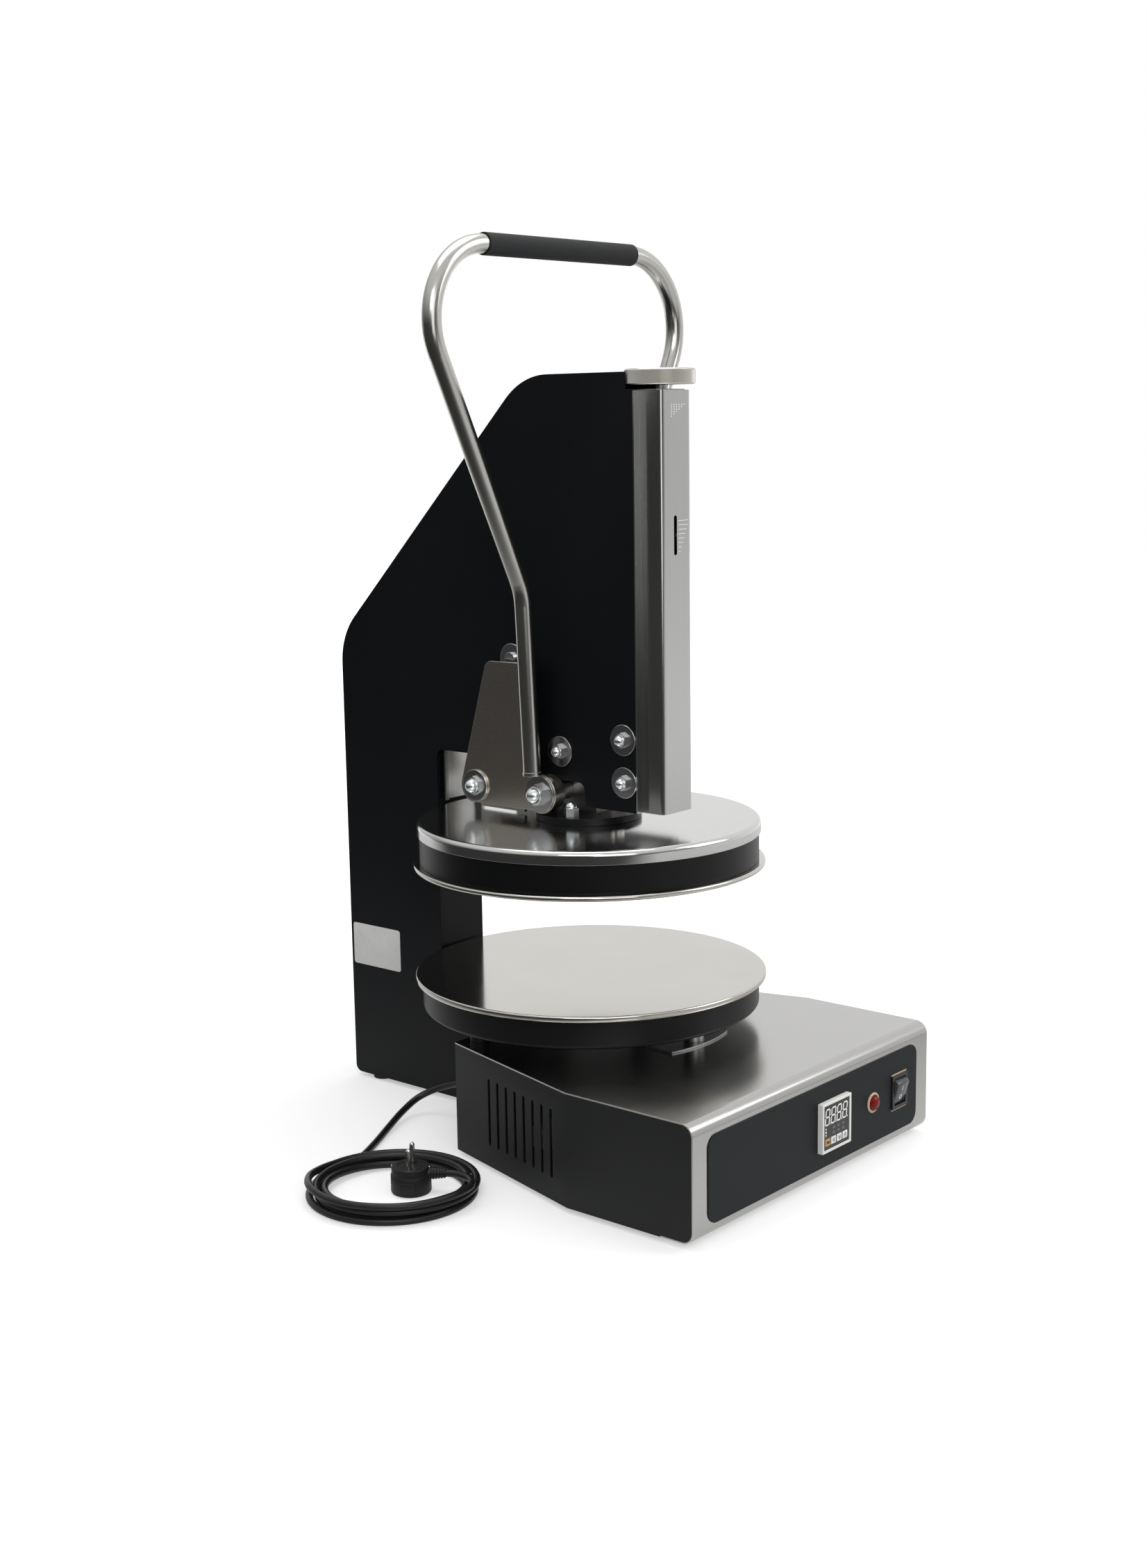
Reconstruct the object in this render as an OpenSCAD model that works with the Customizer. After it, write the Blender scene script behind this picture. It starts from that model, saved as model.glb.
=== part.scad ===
// Heated press for pizza dough: two round hot plates, a hand lever on a C-shaped stand, and a control base.
// Lengths are in millimetres, Z is up and the control panel faces the -Y side.

/* [Base] */
// Width of the base across its front
base_w = 385; // [360:1:420]
// Front face of the base, ahead of the plates' axis
base_front = 273; // [255:1:300]
// Where the sides start to run together, ahead of the plates' axis
base_fold = 130; // [110:1:150]
// Rear wall of the base, behind the plates' axis
base_rear = 53; // [40:1:60]
// Width of the base at its rear wall
base_rear_w = 287; // [260:1:310]
// Height of the lid above the floor
base_top = 114; // [105:1:120]
// Height of the rubber feet
foot_h = 5; // [3:0.5:10]
// Diameter of a foot
foot_d = 22; // [18:1:26]
// Sheet thickness of the base
sheet = 1.5; // [1:0.1:2]
// Outer radius of the lid's two front bends
bend_r = 12; // [8:0.5:14]
// Depth of the lip turned under the front
lip_d = 36; // [25:1:45]
// Number of cooling slots on each side
vent_count = 8; // [4:1:9]
// Width of a cooling slot
vent_w = 4; // [3:0.5:6]
// Height of a cooling slot
vent_h = 66; // [50:1:75]
// Spacing of the cooling slots
vent_pitch = 15; // [12:0.5:17]

/* [Control panel] */
// Stainless margin at each side of the dark panel plate
panel_margin = 21; // [12:1:30]
// Height of the dark panel plate
panel_h = 81; // [72:1:84]
// Thickness of the panel plate
panel_t = 1; // [0.5:0.1:2]
// Corner radius of the panel plate
panel_r = 12; // [8:1:16]
// Side of the square temperature controller
control_size = 48; // [44:1:54]
// Height of the controller's bezel above the panel
control_proud = 6; // [5:0.5:9]
// Controller's centre, left of the lamp's
control_step = 71; // [60:1:110]
// Lamp's centre, left of the switch's
lamp_step = 46.5; // [40:0.5:60]
// Diameter of the lamp's ring
lamp_d = 20; // [18:1:26]
// Diameter of the lamp's lens
lens_d = 14.5; // [12:0.5:16]
// Switch's centre, in from the panel plate's edge
switch_edge = 33; // [24:0.5:45]
// Width of the switch's frame
switch_w = 27; // [24:1:32]
// Height of the switch's frame
switch_h = 34; // [30:1:42]
// Tilt of the rocker in its off position
rocker_tilt = 10; // [4:1:12]

/* [Hot plates] */
// Diameter of the lower plate
plate_d = 350; // [320:1:380]
// Height of the lower plate's face
plate_top = 167; // [160:1:180]
// Thickness of the lower plate's rim
rim_t = 6; // [4:0.5:9]
// Inset of the lower pan from the plate's rim
pan_inset = 7; // [4:0.5:12]
// Depth of the pan below the plate's rim
pan_h = 28; // [25:1:34]
// Rounding of the pan's lower edge
pan_r = 4; // [4:0.5:16]
// Wall of the pan, of the band and of the cap
pan_wall = 3; // [2:0.5:4]
// Inset of the pan's posts from its edge
post_inset = 39; // [30:1:60]
// Diameter of a post
post_d = 20; // [14:1:26]
// Open gap between the plates at rest
plate_gap = 108; // [95:1:115]
// Least gap between the plates when the lever is down
dough_gap = 4; // [2:0.5:10]
// Thickness of the upper plate's beaded rim
bead_t = 5; // [4:0.5:8]
// Height of the dark band of the upper plate
band_h = 28; // [25:1:36]
// Inset of the polished cap from the rim
cap_inset = 5; // [3:0.5:10]
// Height of the cap
cap_h = 13; // [10:1:18]
// Diameter of the round boss on the cap
puck_d = 105; // [104:1:114]
// Height of the boss
puck_h = 7; // [5:0.5:10]

/* [Column and head] */
// Width over the two side plates
column_w = 63.2; // [60:0.2:70]
// Thickness of a side plate
side_t = 3; // [2:0.5:4]
// Gap between the plates' rim and the spine behind them
spine_gap = 2; // [1:0.5:8]
// Depth of the column behind the throat
column_deep = 136.5; // [120:0.5:150]
// Front of the head's side plates, ahead of the plates' axis
head_front = 86; // [82:1:90]
// Top of the head above the lever's pivots
head_rise = 401.5; // [390:0.5:420]
// Height of the slope at the head's rear
slope_fall = 264; // [240:1:280]
// Width of the front cover's raised part
cover_w = 45.5; // [42:0.5:52]
// Depth of the front cover's raised part
cover_deep = 26.5; // [24:0.5:30]
// Height of the window in the cover
window_h = 37; // [34:1:44]
// Width of the window in the cover
window_w = 4.5; // [4:0.5:6]

/* [Lever] */
// Height of both pivots above the boss
pivot_rise = 20.5; // [20.5:0.5:24]
// Ram pivot, behind the plates' axis
pivot_a_y = 19.5; // [17:0.5:21]
// Distance between the two pivots
pivot_span = 85.5; // [84:0.5:90]
// Diameter of the ram shaft
shaft_a_d = 20; // [16:0.5:21]
// Diameter of the rear axle
shaft_b_d = 12; // [10:0.5:13]
// Thickness of a crank plate
crank_t = 5; // [3:0.5:7]
// Height of the crank plates above the pivots
crank_rise = 126.5; // [115:0.5:140]
// Diameter of the handle's tube
tube_d = 18; // [12:0.5:19]
// Height of the handle's bar above the pivots
bar_rise = 518; // [470:1:560]
// Half width of the handle where its sides would meet the bar
bar_reach = 218; // [200:1:220]
// Bend radius of the handle's upper corners
bar_r = 70; // [60:1:80]
// Diameter of the soft grip
grip_d = 21; // [20:0.5:26]
// How far the lever turns over the upper plate's stroke
lever_turn = 75; // [70:1:80]

/* [Thickness stop] */
// Diameter of the knurled wheel
wheel_d = 66; // [56:1:68]
// Height of the knurled wheel
wheel_h = 14.5; // [10:0.5:18]
// Grooves round the wheel
wheel_grooves = 60; // [24:1:72]
// Diameter of the stop screw
screw_d = 12; // [10:0.5:13]

/* [Mains lead] */
// Diameter of the lead
cord_d = 7; // [6:0.5:7]
// Loops in each layer of the coil
coil_turns = 2; // [1:1:2]
// Radius of the coil's outer loop
coil_r = 80; // [80:1:84]
// Spacing of neighbouring loops
coil_pitch = 8.2; // [7.8:0.1:9]
// Diameter of the plug
plug_d = 38; // [34:1:42]

/* [Hidden] */
$fn = 96;

// Overrun of every cut past the faces that it goes through
cut = 2;
// Space left between flat faces that slide past each other
slide_gap = 0.3;
// Space left round a shaft that turns
turn_gap = 0.05;
// Steps in a rounded corner and along the cam slot
arc_steps = 12;
cam_steps = 30;

// Hot plates
rim_bottom = plate_top - rim_t;
pan_d = plate_d - 2 * pan_inset;
pan_bottom = rim_bottom - pan_h;
disc_t = 18;
disc_clear = 1;
disc_d = pan_d - 2 * pan_wall - 2 * disc_clear;
heater_share = 0.63;
heater_ring = heater_share * plate_d / 2;
heater_d = 8.5;
post_ring = pan_d / 2 - post_inset;
post_rear_set = 15;
post_rear_angle = asin((base_rear - post_rear_set) / post_ring);
post_angles = [post_rear_angle, 180 - post_rear_angle, 270];
post_stud_l = 7.5;
shoe_w = 88;
shoe_lip = 14.5;
shoe_t = 2;
stroke = plate_gap - dough_gap;
upper_bottom = plate_top + plate_gap;
bead_d = plate_d - disc_clear;
cap_d = plate_d - 2 * cap_inset;
band_d = cap_d - 4 * disc_clear;
band_bottom = upper_bottom + bead_t;
band_top = band_bottom + band_h;
cap_top = band_top + cap_h;
cap_r = 5;
puck_top = cap_top + puck_h;
puck_nut_shares = [[-0.76, -0.22], [0.76, -0.22], [0, 0.84]];

// Lever pivots and the column's depth
pivot_z = puck_top + pivot_rise;
pivot_b_y = pivot_a_y + pivot_span;
spine_y = plate_d / 2 + spine_gap;
column_rear = spine_y + column_deep;

// The object's depth runs from the controller's face to the column's rear, and its middle is Y = 0
lamp_ring_t = 2.5;
lens_dome_share = 0.56;
lens_sink_share = 0.32;
lamp_proud = lamp_ring_t + (lens_dome_share - lens_sink_share) * lens_d;
front_reach = base_front + panel_t + max(control_proud, lamp_proud);
axis_y = (front_reach - column_rear) / 2;

// Base
base_bottom = foot_h;
base_mid = (base_top + base_bottom) / 2;
fold_run = base_fold + base_rear;
fold_step = (base_w - base_rear_w) / 2;
fold_len = sqrt(fold_run * fold_run + fold_step * fold_step);
fold_angle = atan2(fold_run, fold_step);
vent_shift = 18;
vent_first = (fold_len - vent_pitch * (vent_count - 1)) / 2 - vent_shift;
arm_gap = column_w + 2 * slide_gap;
foot_share = 0.78;
foot_edge_share = 1.3;

// Control panel
panel_w = base_w - 2 * panel_margin;
switch_x = panel_w / 2 - switch_edge;
lamp_x = switch_x - lamp_step;
control_x = lamp_x - control_step;
panel_drop = 1.5;
panel_z = base_mid - panel_drop;
panel_y = -base_front - panel_t;
control_face = panel_y - control_proud;
control_recess = 1.2;
control_border = 2.5;
control_inset = 1.5;
control_body = control_size - 2 * control_inset;
control_depth = 60;
key_shares = [0.167, 0.146];
key_w = key_shares[0] * control_size;
key_h = key_shares[1] * control_size;
key_t = 2;
key_room = 1.2;
key_gap = 0.3;
key_pitch_share = 0.2;
key_pitch = key_pitch_share * control_size;
key_rise_share = 0.2;
key_z = panel_z - control_size / 2 + key_rise_share * control_size;
key_first_x = control_x - 1.5 * key_pitch;
lamp_seat = 0.8;
lamp_body_share = 0.8;
lamp_body_d = lamp_body_share * lens_d;
lamp_body_l = 25;
switch_bezel_t = 2;
switch_rim = 2;
switch_wall = 1.5;
switch_body_w = switch_w - 2 * switch_rim;
switch_body_h = switch_h - 2 * switch_rim;
switch_body_l = 28;
switch_hole_w = switch_body_w - 2 * switch_wall;
switch_hole_h = switch_body_h - 2 * switch_wall;
rocker_w = switch_hole_w - 2 * slide_gap;
rocker_d = switch_hole_h - 2 * slide_gap;
rocker_t = 6;
rocker_sink = 3;
rocker_axis_y = panel_y + rocker_sink;
switch_pocket = rocker_sink + rocker_d / 2 + slide_gap;

// Column and head
side_x = column_w / 2;
inner_x = side_x - side_t;
roof_t = 2;
head_drop = 10.5;
head_bottom = pivot_z - head_drop;
head_top = pivot_z + head_rise;
slope_z = head_top - slope_fall;
slope_y = column_rear - slope_fall;
tan_half = tan(22.5);
rear_corner_r = 70;
top_corner_r = 75;
cover_drop = 17;
cover_top = head_top - cover_drop;
notch_d = 10;
notch_y = head_front - notch_d;
notch_lift = 1;
notch_z = cover_top + notch_lift;
throat_lift = 27.5;
throat_top = pivot_z + throat_lift;
arm_lift = 12;
arm_top = base_top + arm_lift;
arm_clear = 3;
arm_high = base_top - sheet - arm_clear;
arm_low = base_bottom + sheet;
arm_share = 0.4;
arm_front = -arm_share * base_front;
arm_room = 2;
arm_step = base_rear + arm_room;
small_r = 8;
spine_t = 3;
flange_y = head_front + sheet;
cover_front = head_front + cover_deep;
cover_r = 5;
window_x = -2.5;
window_drop = 133;
window_z = cover_top - window_drop;

// Head bolts
washer_d = 30;
washer_t = 1.6;
nut_flats = 13;
nut_l = 10;
bolt_d = 6.5;
bolt_hole = bolt_d + 2 * turn_gap;
low_head_d = 13;
low_head_t = 3;
dome_share = 0.44;
hex_share = 0.95;

// Ram and its guides
ram_w = 24;
ram_deep = 40;
ram_drop = 150;
ram_top = head_top - ram_drop;
shaft_clear = 2.5;
lug_w = 18;
lug_wall = 7;
lug_r = shaft_a_d / 2 + lug_wall;
slot_room = 2;
slot_front = -ram_deep / 2 - slot_room;
slot_roof = pivot_z + shaft_a_d / 2 + shaft_clear;
guide_lift = 4;
guide_low = head_bottom + guide_lift;
guide_step = pivot_z + lug_r + shaft_clear;
guide_h = 78;
guide_high = guide_low + guide_h;
guide_set = 2;
guide_front = guide_set - head_front;
guide_lip = 4;
guide_step_y = -ram_deep / 2 - guide_lip;
guide_up_h = 50;
guide_up_drop = 70;
guide_up_top = ram_top - guide_up_drop;
guide_up_low = guide_up_top - guide_up_h;
guide_up_half = ram_deep / 2 + lug_wall * 2;
stop_arm_drop = 40;
stop_arm_z = ram_top - stop_arm_drop;
stop_arm_t = 12;
stop_arm_w = 16;
stop_arm_reach = 60;
gas_d = 22;
gas_bore = 18;
gas_rod_d = 8;
gas_gap = 16;
gas_bottom = ram_top + gas_gap;
gas_end = head_top - roof_t;
gas_plug = 20;
gas_rod_top = gas_end - gas_plug;
piston_clear = 0.5;

// Fulcrum bracket with the curved slots of the rear axle
bracket_t = 4;
bracket_clear = 2;
bracket_bottom = cap_top + bracket_clear;
front_clear = 3.5;
bracket_front = pivot_a_y + shaft_a_d / 2 + front_clear;
guide_rear_gap = 5;
guide_rear = bracket_front - guide_rear_gap;
bracket_lift = 124;
bracket_top = throat_top + bracket_lift;
bracket_shoulder = 27;
bracket_r = 10;
jaw_clear = 7;
jaw_end = puck_d / 2 + jaw_clear;
jaw_rise = 6;
jaw_top = puck_top + jaw_rise;
cam_clear = 0.6;
cam_w = shaft_b_d + 2 * cam_clear;
bracket_arm_wall = 7;
bracket_arm_end = pivot_b_y + cam_w / 2 + bracket_arm_wall;
bracket_window_w = spine_y - bracket_r - bracket_arm_end;
bracket_window_top = throat_top + bracket_t;

// Places of the head bolts as shares of the lower guide, and of the bracket's bolts as shares of the bracket
bolt_shares = [[0.82, 0.61], [0.116, 0.84], [0.107, 0.314]];
bracket_bolt_shares = [0.25, 0.867];
bolt_places = [for (s = bolt_shares)
    [guide_front + s[0] * (guide_rear - guide_front), guide_low + s[1] * guide_h]];
bracket_bolt = [bracket_front + bracket_bolt_shares[0] * (spine_y - bracket_front),
    bracket_bottom + bracket_bolt_shares[1] * (bracket_top - bracket_bottom)];

// Lever
crank_clear = 1.3;
crank_x = side_x + washer_t + nut_l + crank_clear;
crank_out = crank_x + crank_t;
lobe_r = 19.5;
crank_corner_r = 10;
crank_heel_r = 17;
crank_drop = 17.5;
crank_low = pivot_z - crank_drop;
crank_top = pivot_z + crank_rise;
crank_back = 6.5;
crank_front_y = pivot_a_y + crank_back;
crank_top_w = 62.5;
heel_reach = 26;
slot_step = pivot_a_y + lobe_r + notch_lift;
thread_d = 12;
washer_a_d = 37;
washer_b_d = 32;
pivot_washer_t = 2.5;
pivot_nut_flats = [19, 17];
pivot_nut_l = [15, 11];
bush_wall = 4;
bush_d = shaft_b_d + 2 * bush_wall;
bush_in = side_x + 2 * slide_gap;
hub_d = 35;
weld = 0.5;
tube_x = crank_out + tube_d / 2 - weld;
tube_back = 2.5;
tube_y = pivot_a_y + tube_back;
tube_low = pivot_z + lobe_r;
knee_rise = 177;
knee_step = 7;
tube_knee = [tube_x + knee_step, tube_low + knee_rise];
knee_r = 60;
handle_lean = 0.46;
tube_hair = 0.1;
tube_lap = 2;
bar_z = pivot_z + bar_rise;

// Thickness stop
wheel_ahead = 7.5;
wheel_y = head_front + wheel_ahead;
wheel_gap = 5;
wheel_low = cover_top + wheel_gap;
groove_d = 1.4;
roof_gap = 2.5;
roof_front = -wheel_y + wheel_d / 2 + roof_gap;
bearing_h = 12;
screw_neck = 10;
screw_below = 28;
screw_low = window_z - screw_below;
nut_h = 20;
nut_w = 24;
nut_deep = 20;
pointer_w = 3.5;
pointer_t = 3;
pointer_gap = 1.3;
stop_leg_t = 4;
stop_leg_y = guide_front;
stop_foot_top = stop_arm_z - stroke - slide_gap;
stop_foot_t = 11;
stop_foot_l = 39;

// Mains lead
cord_r = cord_d / 2;
floor_gap = 0.2;
cord_z = cord_r + floor_gap;
gland_x = -70;
gland_z = 45;
gland_l = 26;
gland_d = 18;
gland_nut_share = 0.35;
gland_nose_share = 0.72;
gland_skin = 1.2;
gland_stud_l = 7.5;
terminal_size = [50, 22, 20];
coil_x = -256;
coil_y = 27;
coil_start = 90;
layer_step = 7.6;
coil_rings = 24;
coil_sides = 6;
lead_sides = 8;
route_fill = 2;
plug_h = 26;
plug_neck_l = 26;
plug_neck_d = 13;
plug_angle = -55;
pin_d = 4.8;
pin_l = 19;
pin_span = 19;
// Route of the lead from its gland to the coil, about the plates' axis
lead_route = [[-70, 79, 45], [-70, 86, 45], [-70, 97, 44], [-69, 113, 41], [-68, 132, 35], [-71, 152, 27],
    [-84, 166, 18], [-108, 165, 10], [-142, 151, 5.5], [-172, 136, 3.7], [-203, 120, 3.7], [-226, 110.5, 3.7],
    [-241, 107.2, 3.7], [-249, 107, 3.7]];
// End of the coil: up from its last loop, over the top and in to the plug
tail_route = [[-277, 104, 13], [-302, 92.5, 16], [-325, 67, 18.9], [-335.5, 34, 18.9], [-331, 0, 18.9],
    [-312.5, -29.5, 18.9], [-290, -45.5, 18.9], [-263, -52.5, 18.9], [-241, -51.5, 18.9],
    [-230.5, -47.5, 18.9], [-222.5, -39.5, 18.9], [-218.5, -29, 18.9], [-218.5, -18, 18.9],
    [-223, -8, 18.9], [-227, -2.3, 18.9]];

// Rounded outlines
function unit(v) = v / norm(v);
function half_turn(a) = a > 180 ? a - 360 : a < -180 ? a + 360 : a;
function corner(a, p, b, r) =
    let (u = unit(a - p), w = unit(b - p), half = acos(u * w) / 2)
    let (c = p + unit(u + w) * r / sin(half), s = p + u * r / tan(half) - c, e = p + w * r / tan(half) - c)
    let (from = atan2(s[1], s[0]), step = half_turn(atan2(e[1], e[0]) - from) / arc_steps)
    [for (i = [0 : arc_steps]) c + r * [cos(from + step * i), sin(from + step * i)]];
function rounded(pts, radii) =
    let (n = len(pts))
    [for (i = [0 : n - 1])
        each radii[i] > 0 ? corner(pts[(i + n - 1) % n], pts[i], pts[(i + 1) % n], radii[i]) : [pts[i]]];
function back(list) = [for (i = [len(list) - 1 : -1 : 0]) list[i]];

// Places given about the plates' axis, moved so that the object's depth is centred
module about_axis() {
    translate([0, axis_y, 0]) children();
}

// An outline in depth and height, given a thickness across the width from x
module slab_x(x, t) {
    translate([x, 0, 0]) rotate([90, 0, 90]) linear_extrude(t) children();
}

module both_sides() {
    children();
    mirror([1, 0, 0]) children();
}

// A cylinder across the width from x
module rod_x(x, y, z, d, l) {
    translate([x, y, z]) rotate([0, 90, 0]) cylinder(d = d, h = l);
}

// Plan of the base drawn in by some amount
module base_plan(inset) {
    half = base_w / 2 - inset;
    rear = base_rear_w / 2 - inset / sin(fold_angle);
    polygon([[-half, -base_front], [half, -base_front], [half, -base_fold], [rear, base_rear],
        [-rear, base_rear], [-half, -base_fold]]);
}

// Side view of the base, drawn in by some amount
module base_profile(inset, r) {
    front = -base_front + inset;
    low = base_bottom + inset;
    high = base_top - inset;
    polygon(rounded([[front, low], [base_rear, low], [base_rear, high], [front, high]], [r, 0, 0, r]));
}

// Openings behind the instruments on the front
module panel_holes() {
    deep = sheet + panel_t + 2 * cut;
    side = control_body + 2 * slide_gap;
    wide = switch_body_w + 2 * slide_gap;
    tall = switch_body_h + 2 * slide_gap;
    translate([control_x - side / 2, panel_y - cut, panel_z - side / 2]) cube([side, deep, side]);
    translate([lamp_x, panel_y - cut, panel_z]) rotate([-90, 0, 0])
        cylinder(d = lamp_body_d + slide_gap, h = deep);
    translate([switch_x - wide / 2, panel_y - cut, panel_z - tall / 2]) cube([wide, deep, tall]);
}

// Stainless lid, front and lip in one bent sheet
module base_cover() {
    color("silver") about_axis() difference() {
        intersection() {
            slab_x(-base_w / 2, base_w) difference() {
                base_profile(0, bend_r);
                base_profile(sheet, bend_r - sheet);
                translate([-base_front + lip_d, base_bottom - cut]) square([base_w, sheet + 2 * cut]);
                translate([base_rear - cut, base_bottom]) square([2 * cut, base_top - base_bottom - sheet]);
            }
            translate([0, 0, base_bottom - cut]) linear_extrude(base_top) base_plan(0);
        }
        panel_holes();
        post_places(base_top - sheet - cut) cylinder(d = post_d / 2, h = sheet + 2 * cut);
    }
}

// One round-ended cooling slot, cut across the sheet
module vent() {
    deep = 2 * cut + 2 * sheet;
    low = base_mid - vent_h / 2 + vent_w / 2;
    run = vent_h - vent_w;
    for (z = [low, low + run]) translate([0, deep / 2, z]) rotate([90, 0, 0]) cylinder(d = vent_w, h = deep);
    translate([-vent_w / 2, -deep / 2, low]) cube([vent_w, deep, run]);
}

// Black side sheet, straight and then folded in, with its cooling slots
module base_side() {
    color("#1b1c1f") about_axis() difference() {
        intersection() {
            translate([0, 0, base_bottom]) linear_extrude(base_top) difference() {
                base_plan(0);
                base_plan(sheet);
                translate([-inner_x, -base_front - cut]) square([base_w, base_front + base_rear + 2 * cut]);
            }
            slab_x(-base_w, base_w) base_profile(sheet, bend_r - sheet);
        }
        translate([-base_w / 2, -base_fold, 0]) rotate([0, 0, fold_angle])
            for (i = [0 : vent_count - 1]) translate([vent_first + i * vent_pitch, 0, 0]) vent();
    }
}

module base_side_left() {
    base_side();
}

module base_side_right() {
    mirror([1, 0, 0]) base_side();
}

// Rear wall of the base with a gap for the column's arms and a hole for the lead
module base_rear_wall() {
    half = base_rear_w / 2 - 2 * sheet;
    deep = sheet + 2 * cut;
    low = base_bottom + sheet;
    color("#1b1c1f") about_axis() difference() {
        translate([-half, base_rear - sheet, low]) cube([2 * half, sheet, base_top - sheet - low]);
        translate([-arm_gap / 2, base_rear - sheet - cut, low - cut])
            cube([arm_gap, deep, arm_high + slide_gap - low + cut]);
        translate([gland_x, base_rear - sheet - cut, gland_z]) rotate([-90, 0, 0])
            cylinder(d = gland_d / 2, h = deep);
    }
}

// Bottom sheet behind the lip
module base_floor() {
    color("#1b1c1f") about_axis() difference() {
        translate([0, 0, base_bottom]) linear_extrude(sheet) base_plan(0);
        translate([-base_w, -base_front - cut, base_bottom - cut])
            cube([2 * base_w, cut + lip_d, sheet + 2 * cut]);
    }
}

// Rubber feet under the base and under the column
module feet() {
    places = [[foot_share * base_w / 2, -foot_share * base_front],
        [foot_share * base_rear_w / 2, base_rear - foot_edge_share * foot_d],
        [inner_x - foot_d / 2, column_rear - foot_edge_share * foot_d]];
    color("#101010") about_axis() both_sides() for (p = places)
        translate([p[0], p[1], 0]) cylinder(d = foot_d, h = foot_h);
}

// Dark plate on the front that carries the instruments
module control_plate() {
    half = panel_w / 2;
    low = panel_z - panel_h / 2;
    high = panel_z + panel_h / 2;
    color("#33363b") about_axis() difference() {
        translate([0, -base_front, 0]) rotate([90, 0, 0]) linear_extrude(panel_t)
            polygon(rounded([[-half, low], [half, low], [half, high], [-half, high]],
                [panel_r, panel_r, panel_r, panel_r]));
        panel_holes();
    }
}

// A key's block at its place on the controller, grown by some amount and reaching some way in
module key_block(i, grow, deep) {
    translate([key_first_x + i * key_pitch - key_w / 2 - grow, control_face, key_z - key_h / 2 - grow])
        cube([key_w + 2 * grow, control_recess + deep, key_h + 2 * grow]);
}

// Square temperature controller: bezel on the panel and body behind it
module controller() {
    window = control_size - 2 * control_border;
    color("#c9cac6") about_axis() difference() {
        union() {
            translate([control_x - control_size / 2, control_face, panel_z - control_size / 2])
                cube([control_size, control_proud, control_size]);
            translate([control_x - control_body / 2, panel_y - control_proud / 2, panel_z - control_body / 2])
                cube([control_body, control_depth, control_body]);
        }
        translate([control_x - window / 2, control_face - cut, panel_z - window / 2])
            cube([window, cut + control_recess, window]);
        for (i = [0 : 3]) key_block(i, key_gap, key_t + key_room);
    }
}

// One key of the controller, numbered from the left, set back behind the bezel
module key(i, tone) {
    color(tone) about_axis() difference() {
        key_block(i, 0, key_t);
        translate([control_x - control_size, control_face - cut, key_z - key_h])
            cube([2 * control_size, cut + control_recess / 2, 2 * key_h]);
    }
}

module key_mode() {
    key(0, "#c98a2e");
}

module key_left() {
    key(1, "#e8e8e4");
}

module key_down() {
    key(2, "#e8e8e4");
}

module key_up() {
    key(3, "#e8e8e4");
}

// Places on the lamp's axis, whose own Z runs out of the panel
module at_lamp() {
    about_axis() translate([lamp_x, panel_y, panel_z]) rotate([90, 0, 0]) children();
}

// Ring and body of the signal lamp
module lamp_ring() {
    color("#c9a98a") at_lamp() difference() {
        union() {
            cylinder(d = lamp_d, h = lamp_ring_t);
            translate([0, 0, -lamp_body_l]) cylinder(d = lamp_body_d, h = lamp_body_l + lamp_seat);
        }
        translate([0, 0, lamp_seat]) cylinder(d = lens_d, h = lamp_ring_t + cut);
    }
}

// Red domed lens of the lamp
module lamp_lens() {
    color("#a01218") at_lamp() intersection() {
        translate([0, 0, lamp_seat]) cylinder(d = lens_d, h = lens_d);
        union() {
            cylinder(d = lens_d, h = lamp_ring_t);
            translate([0, 0, lamp_ring_t - lens_sink_share * lens_d]) sphere(r = lens_dome_share * lens_d);
        }
    }
}

// Frame and housing of the rocker switch
module switch_bezel() {
    color("#151515") about_axis() translate([switch_x, panel_y, panel_z]) difference() {
        union() {
            translate([-switch_w / 2, -switch_bezel_t, -switch_h / 2])
                cube([switch_w, switch_bezel_t, switch_h]);
            translate([-switch_body_w / 2, -switch_bezel_t, -switch_body_h / 2])
                cube([switch_body_w, switch_body_l, switch_body_h]);
        }
        translate([-switch_hole_w / 2, -switch_bezel_t - cut, -switch_hole_h / 2])
            cube([switch_hole_w, switch_bezel_t + cut + switch_pocket, switch_hole_h]);
    }
}

// Rocker, a slice of a cylinder tilted with its upper edge out
module switch_rocker() {
    color("#1d1d1f") about_axis() translate([switch_x, rocker_axis_y, panel_z]) rotate([rocker_tilt, 0, 0])
        intersection() {
            rotate([0, 90, 0]) cylinder(d = rocker_d, h = rocker_w, center = true);
            translate([-rocker_w, -rocker_t, -rocker_d])
                cube([2 * rocker_w, rocker_t + rocker_sink, 2 * rocker_d]);
        }
}

// Side plate: column, sloped head and the arm that runs into the base
module column_outline() {
    polygon(rounded(
        [[-head_front, head_bottom], [slot_front, head_bottom], [slot_front, slot_roof],
            [slot_step, slot_roof], [slot_step, throat_top], [spine_y, throat_top], [spine_y, arm_top],
            [arm_step, arm_top], [arm_step, arm_high], [arm_front, arm_high], [arm_front, arm_low],
            [arm_step, arm_low],
            [arm_step, base_bottom], [column_rear, base_bottom], [column_rear, slope_z], [slope_y, head_top],
            [-notch_y, head_top], [-notch_y, notch_z], [-head_front, notch_z]],
        [0, 0, small_r, 0, 0, small_r, small_r, 0, 0, 0, 0, 0, 0, small_r, rear_corner_r, top_corner_r,
            0, 0, 0]));
}

module column_side() {
    color("#1b1c1f") about_axis() difference() {
        slab_x(-side_x, side_t) column_outline();
        for (p = concat(bolt_places, [bracket_bolt]))
            rod_x(-side_x - cut, p[0], p[1], bolt_hole, side_t + 2 * cut);
    }
}

module column_side_left() {
    column_side();
}

module column_side_right() {
    mirror([1, 0, 0]) column_side();
}

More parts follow.
